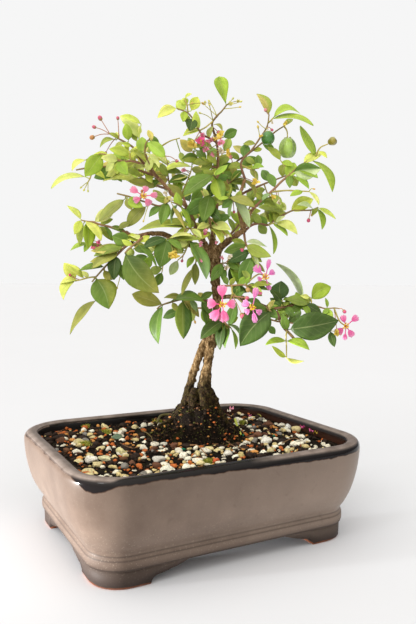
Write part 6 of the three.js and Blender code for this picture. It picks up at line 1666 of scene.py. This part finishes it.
def build_litter():
    draw = random.Random(LITTER_SEED)
    builder = Builder()
    for places, thick, tone in LYING_TWIGS:
        spots = [on_soil(*place, lift=LITTER_LIFT + thick * 0.5) for place in way_of(places)]
        way, radii = smooth_way(spots, [thick, thick * 0.6])
        builder.tube(tube_rows(way, radii, 6, 0.2, thick), linear(tone))
    for x, y, size, tone in LYING_PETALS:
        middle = on_soil(x, y, lift=LITTER_LIFT + size * 0.5)
        turn = draw.uniform(0, 6)
        ahead = Vector((math.cos(turn), math.sin(turn), 0.3))
        aside = Vector((-math.sin(turn), math.cos(turn), 0))
        rows = []
        for i in range(LYING_PETAL_ROWS + 1):
            t = i / LYING_PETAL_ROWS
            half = size * (0.1 + 0.5 * math.sin(math.pi * min(t, 0.9)) ** 0.6)
            rows.append([middle + ahead * (size * (t - 0.5)) + aside * (half * u)
                         + Vector((0, 0, size * 0.3 * (u * u + math.sin(5 * t + 3 * u))))
                         for u in (-1, -0.5, 0, 0.5, 1)])
        builder.grid(rows, linear(tone))
    builder.make("litter", [plain_look("litter", 0.8, 700, 0.0002, 0.3)], "soil")


CLUMP_TONES = [(184, 192, 62), (158, 166, 52), (120, 128, 42), (206, 200, 96)]
MOSS_TONES = [(112, 118, 40), (84, 92, 32), (146, 142, 52), (60, 56, 30), (72, 56, 34), (158, 138, 70)]
MOSS_ON_MOUND = 3600
MOSS_IN_CLUMP = 560
CLUMP_HEIGHT = 2.3
BLADE_HALF_WIDTH = 0.16
# Clumps of moss: x and y in view units, spread in mm.
MOSS_CLUMPS = [(85, 444, 4.5), (80, 426, 3.5), (106, 432, 4.5), (236, 428, 3.5), (243, 423, 3.5),
               (208, 462, 3), (158, 422, 4)]


def build_moss():
    """Blades of short moss and fine roots on the mound, taller ones in a few clumps on the soil."""
    draw = random.Random(MOSS_SEED)
    builder = Builder()
    spots = []
    for _ in range(MOSS_ON_MOUND):
        turn, out = draw.uniform(0, 2 * math.pi), math.sqrt(draw.random()) * 1.1
        place = mound_place(out, turn)
        if noise.noise(place * 0.11) > -0.05:
            spots.append((place.x, place.y, 1.0))
    for x, y, spread in MOSS_CLUMPS:
        middle = on_soil(x, y)
        spots += [(middle.x + draw.gauss(0, spread / 3), middle.y + draw.gauss(0, spread / 3), CLUMP_HEIGHT)
                  for _ in range(MOSS_IN_CLUMP)]
    for x, y, tall in spots:
        if not within(x, y, 1):
            continue
        tones, light = (CLUMP_TONES, 1.3) if tall > 1 else (MOSS_TONES, 1)
        foot = Vector((x, y, rough_ground(Vector((x, y, 0))) - 0.2))
        lean = Vector((draw.gauss(0, 0.8), draw.gauss(0, 0.8), draw.uniform(0.5, 1.5) * tall))
        across = Vector((draw.gauss(0, 1), draw.gauss(0, 1), 0.2))
        side = lean.cross(across).normalized() * BLADE_HALF_WIDTH
        shade = draw.uniform(0.6, 1.1) * light
        tone = lit(linear(draw.choice(tones)), shade)
        middle = foot + lean * 0.6 + side * draw.uniform(-1, 1)
        tip = foot + lean + side * draw.uniform(-2, 2)
        builder.add([foot - side, foot + side, middle + side * 0.8, middle - side * 0.8, tip],
                    [(0, 1, 2, 3), (3, 2, 4)], tone)
    builder.make("moss", [plain_look("moss", 0.9, 900, 0.0002)], "soil")


# ---- blooms and fruits
PETAL_ROWS = 12
PETAL_COLUMNS = 12
PETAL_HALF_THICKNESS = 0.1
HEART_LIFT = 1.8
HEART_RADIUS = 1.1
CLAW_SHARE = 0.3
CLAW_START = 0.8
CLAW_HALF_WIDTH = 0.36
NEAREST_LIMB = 4.2
STAMEN_COUNT = 12
STAMEN_RADII = (0.2, 0.14)
ANTHER_RADIUS = 0.42
YELLOW, DEEP_YELLOW = (250, 216, 50), (226, 150, 40)


def grow_petal(builder, heart, facing, scale, limb_seen, rgb, draw):
    """A petal: a narrow claw, then a notched and ruffled limb that is seen at x, y from the heart."""
    x, y, width, height = limb_seen
    out = Vector((x, y))
    reach = out.length
    out.normalize()
    long = abs(out.x) * width + abs(out.y) * height
    wide = (abs(out.y) * width + abs(out.x) * height) * scale / 2
    across = RIGHT * out.y + UP * out.x
    ahead = RIGHT * out.x - UP * out.y
    inner, outer = max(reach - long / 2, NEAREST_LIMB) * scale, (reach + long / 2) * scale
    beat, phase = draw.uniform(5, 8), draw.uniform(0, 6)
    tilt = draw.uniform(-0.35, 0.35)
    shade = draw.uniform(0.9, 1.06)

    def point(t, u, skin):
        limb = (t - CLAW_SHARE) / (1 - CLAW_SHARE)
        cup = 1.0 * math.sin(math.pi * t) - 0.5 * max(limb, 0) ** 2
        if limb <= 0:
            forward = CLAW_START + (inner - CLAW_START) * t / CLAW_SHARE
            aside, ruffle = CLAW_HALF_WIDTH * u, 0.0
        else:
            spread = math.radians(78 - 34 * limb) * u
            notch = 1 - 0.1 * limb ** 3 * max(0, 1 - 5 * abs(u)) + 0.05 * limb * math.sin(26 * u + phase)
            forward = inner + (outer - inner) * limb * notch * math.cos(spread)
            aside = CLAW_HALF_WIDTH * u + wide * 1.18 * limb * notch * math.sin(spread)
            ruffle = limb * (0.5 * abs(u) ** 0.6 * math.sin(beat * u + phase) + tilt * aside)
        return (heart + ahead * forward + across * aside
                + facing * (ruffle + cup + skin * PETAL_HALF_THICKNESS))

    skins = [[[point(i / PETAL_ROWS, 2 * j / PETAL_COLUMNS - 1, skin) for j in range(PETAL_COLUMNS + 1)]
              for i in range(PETAL_ROWS + 1)] for skin in (1, -1)]
    places = [(j / PETAL_COLUMNS, i / PETAL_ROWS) for i in range(PETAL_ROWS + 1)
              for j in range(PETAL_COLUMNS + 1)]
    builder.sheet(skins, lit(linear(rgb), shade), places * 2)


def build_bloom(name, place, petals, rgb):
    """A flower that faces the eye: one piece for its petals, one for its stamens."""
    x, y, depth = place
    middle = seen(place)
    facing = (EYE - middle).normalized()
    heart = middle + facing * HEART_LIFT
    draw = random.Random(x)
    builder = Builder()
    builder.tube(ball_rows(heart, HEART_RADIUS, facing, 0.5), linear(rgb))
    for px, py, width, height in petals:
        limb_seen = (px - x, py - y, width, height)
        grow_petal(builder, heart, facing, mm_per_unit(depth), limb_seen, rgb, draw)
    piece = builder.make(f"bloom_{name}_petals_fine", [PETAL], "petals", [f"bloom_{name}_petals"])
    face_out(piece.data)
    stamens = Builder()
    front = heart + facing * 0.6
    for k in range(STAMEN_COUNT):
        turn = 2 * math.pi * k / STAMEN_COUNT + draw.uniform(-0.2, 0.2)
        out = (RIGHT * math.cos(turn) + UP * math.sin(turn)) * draw.uniform(1.0, 2.3)
        tip = front + out + facing * draw.uniform(0.8, 1.7)
        grow_stalk(stamens, [front + out * 0.3, front + out * 0.7 + facing * 0.5, tip], STAMEN_RADII,
                   linear(YELLOW), slot=0, step=0.8)
        stamens.tube(ball_rows(tip, ANTHER_RADIUS, out.cross(facing), 1.4, 6, 4),
                     linear(YELLOW if k % 3 else DEEP_YELLOW))
    stamens.make(f"bloom_{name}_stamens_fine", [STAMEN], "stamens", [f"bloom_{name}_stamens"])


FRUIT_LOBES = 3
FRUIT_BANDS = 18
FRUIT_SECTORS = 30
GLAND_COUNT = 5
GLAND_TONE = (196, 196, 130)


def build_fruit(name, place, half, cut, rgb):
    """A cherry in lobes, dipped at both ends, with painted shade in the grooves between its lobes, painted
    light on their crests, and the calyx's glands round its stalk.
    """
    middle = seen(place)
    builder = Builder()
    rows, colours = [], []
    for i in range(FRUIT_BANDS + 1):
        turn = math.pi * (0.015 + 0.97 * i / FRUIT_BANDS)
        ring = math.sin(turn)
        dip = 0.12 * half[1] * (1 - min(ring * 1.8, 1)) * (1 if i < FRUIT_BANDS / 2 else -1)
        row = []
        for j in range(FRUIT_SECTORS):
            spin = 2 * math.pi * j / FRUIT_SECTORS
            waist = 1 - cut * ring * (0.5 - 0.5 * math.cos(FRUIT_LOBES * spin)) ** 1.5
            row.append(middle + Vector((ring * half[0] * waist * math.cos(spin),
                                        ring * half[0] * waist * math.sin(spin),
                                        -half[1] * math.cos(turn) + dip)))
            # Painted shade in the grooves between the lobes, painted light on their crests.
            colours.append(lit(linear(rgb), 1 + 0.18 * math.cos(FRUIT_LOBES * spin)))
        rows.append(row)
    builder.tube(rows, colours)
    top = middle + Vector((0, 0, half[1] * 0.9))
    for k in range(GLAND_COUNT):
        spin = 2 * math.pi * k / GLAND_COUNT
        out = Vector((math.cos(spin), math.sin(spin), 0))
        gland = top + out * half[0] * 0.28
        builder.tube(ball_rows(gland, 0.5 + half[0] * 0.05, out, 1.3, 6, 4), linear(GLAND_TONE))
    slot_name = "fruit_green" if name == "fruit_young" else name
    builder.make(name + "_fine", [FRUIT], slot_name, [name])


# ---- screens, floor, light and camera
def dress_screens():
    look = Look("screen", 0.5)
    look.colour(look.ramp(look.noise(600, 2), [(0.3, (0.012, 0.012, 0.011)), (0.7, (0.03, 0.03, 0.028))]))
    look.bump(look.noise(1200, 2), 0.0001, 0.5)
    for name in ("drain_screen_left", "drain_screen_right"):
        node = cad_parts[name]
        node.data.materials.clear()
        node.data.materials.append(look.material)


FLOOR_TONE = (0.738, 0.756, 0.800)
FLOOR_HALF_SIZE = 30.0


def build_stage():
    size = FLOOR_HALF_SIZE
    mesh = new_mesh("floor", [(-size, -size, 0), (size, -size, 0), (size, size, 0), (-size, size, 0)],
                    [(0, 1, 2, 3)])
    look = Look("floor", 0.9, Specular_IOR_Level=0.0)
    low, high = (tuple(c * share for c in FLOOR_TONE) for share in (0.996, 1.004))
    look.colour(look.ramp(look.noise(4, 2), [(0.3, low), (0.7, high)]))
    mesh.materials.append(look.material)
    new_object("floor", mesh)


# The backdrop as the camera sees it, and the light from all around: its tones from the side away from
# LIGHT_FROM, which is the darkest, to the side towards it.
WALL_LIGHT = 0.9216
LIGHT_AROUND = [(0.26, 0.265, 0.28), (0.84, 0.82, 0.78), (1.66, 1.60, 1.49)]
LIGHT_FROM = (-0.36, -0.24, 0.90)
LIGHT_MIDDLE = 0.4
KEY_POWER, KEY_TONE, KEY_FROM, KEY_ANGLE = 0.35, (1.0, 0.95, 0.88), (-0.62, -0.12, 0.78), 60
WINDOW_POWER, WINDOW_PLACE, WINDOW_SIZE = 0.5, (-0.55, -0.25, 0.55), (0.12, 0.16)
WINDOW_AIM = (POT_PLACE.x, POT_PLACE.y, 0.06)
BEAM_POWER, BEAM_ANGLE, BEAM_RADIUS = 108, 15, 0.03
BEAM_PLACE = (POT_PLACE.x - 0.95, POT_PLACE.y + 0.16, 0.035)
BEAM_AIM = (POT_PLACE.x - 0.08, POT_PLACE.y, 0.04)


def add_lamp(name, kind, power, place, aim, **settings):
    """A lamp that shines from its place to its aim."""
    light = bpy.data.lights.new(name, kind)
    light.energy = power
    for key, value in settings.items():
        setattr(light, key, value)
    lamp = new_object(name, light)
    lamp.location = place
    lamp.rotation_euler = (Vector(aim) - Vector(place)).to_track_quat("-Z", "Y").to_euler()
    return lamp


def build_light():
    """A pale even backdrop, soft light mostly from above, and a sun, a window and a beam from the left."""
    scene = bpy.context.scene
    scene.view_settings.view_transform = "Standard"
    world = bpy.data.worlds.new("studio")
    scene.world = world
    world.use_nodes = True
    tree = world.node_tree
    tree.nodes.clear()

    def node(kind, **inputs):
        made = tree.nodes.new("ShaderNode" + kind)
        for name, value in inputs.items():
            socket = made.inputs[int(name[1:]) if name[0] == "_" else name.replace("_", " ")]
            if isinstance(value, bpy.types.NodeSocket):
                tree.links.new(value, socket)
            else:
                socket.default_value = value
        return made

    turned = node("VectorMath", _0=node("TexCoord").outputs["Generated"], _1=LIGHT_FROM)
    turned.operation = "DOT_PRODUCT"
    share = node("MapRange", Value=turned.outputs["Value"], From_Min=0.0, From_Max=0.95).outputs[0]
    soft = node("ValToRGB", Fac=share)
    stops = soft.color_ramp.elements
    stops.new(LIGHT_MIDDLE)
    for stop, colour in zip(stops, LIGHT_AROUND):
        stop.color = (*colour, 1)
    around = node("Background", Color=soft.outputs["Color"], Strength=1.0)
    wall = node("Background", Color=(WALL_LIGHT, WALL_LIGHT, WALL_LIGHT, 1), Strength=1.0)
    seen_directly = node("LightPath").outputs["Is Camera Ray"]
    both = node("MixShader", _0=seen_directly, _1=around.outputs[0], _2=wall.outputs[0])
    tree.links.new(both.outputs[0], tree.nodes.new("ShaderNodeOutputWorld").inputs["Surface"])

    key = bpy.data.lights.new("key", "SUN")
    key.energy = KEY_POWER
    key.angle = math.radians(KEY_ANGLE)
    key.color = KEY_TONE
    new_object("key", key).rotation_euler = Vector(KEY_FROM).to_track_quat("Z", "Y").to_euler()
    window = add_lamp("window", "AREA", WINDOW_POWER, WINDOW_PLACE, WINDOW_AIM, shape="RECTANGLE",
                      size=WINDOW_SIZE[0], size_y=WINDOW_SIZE[1])
    window.visible_camera = False
    add_lamp("beam", "SPOT", BEAM_POWER, BEAM_PLACE, BEAM_AIM, spot_size=math.radians(BEAM_ANGLE),
             spot_blend=0.8, shadow_soft_size=BEAM_RADIUS)


SENSOR_WIDTH = 36


def build_camera():
    data = bpy.data.cameras.new("camera")
    data.sensor_width = SENSOR_WIDTH
    data.lens = SENSOR_WIDTH * VIEW_UNITS / VIEW_SIZE[1]
    data.clip_start = 0.01
    camera = new_object("camera", data)
    place = (EYE + POT_MM) * MM
    camera.matrix_world = Matrix((
        (RIGHT.x, UP.x, -AWAY.x, place.x),
        (RIGHT.y, UP.y, -AWAY.y, place.y),
        (RIGHT.z, UP.z, -AWAY.z, place.z),
        (0, 0, 0, 1)))
    bpy.context.scene.camera = camera


build_camera()
build_stage()
build_light()
build_pot()
build_soil()
build_pebbles()
build_litter()
build_moss()
build_trunk()
build_sprays()
for bloom, details in BLOOMS.items():
    build_bloom(bloom, *details)
for fruit, details in FRUITS.items():
    build_fruit(fruit, *details)
dress_screens()
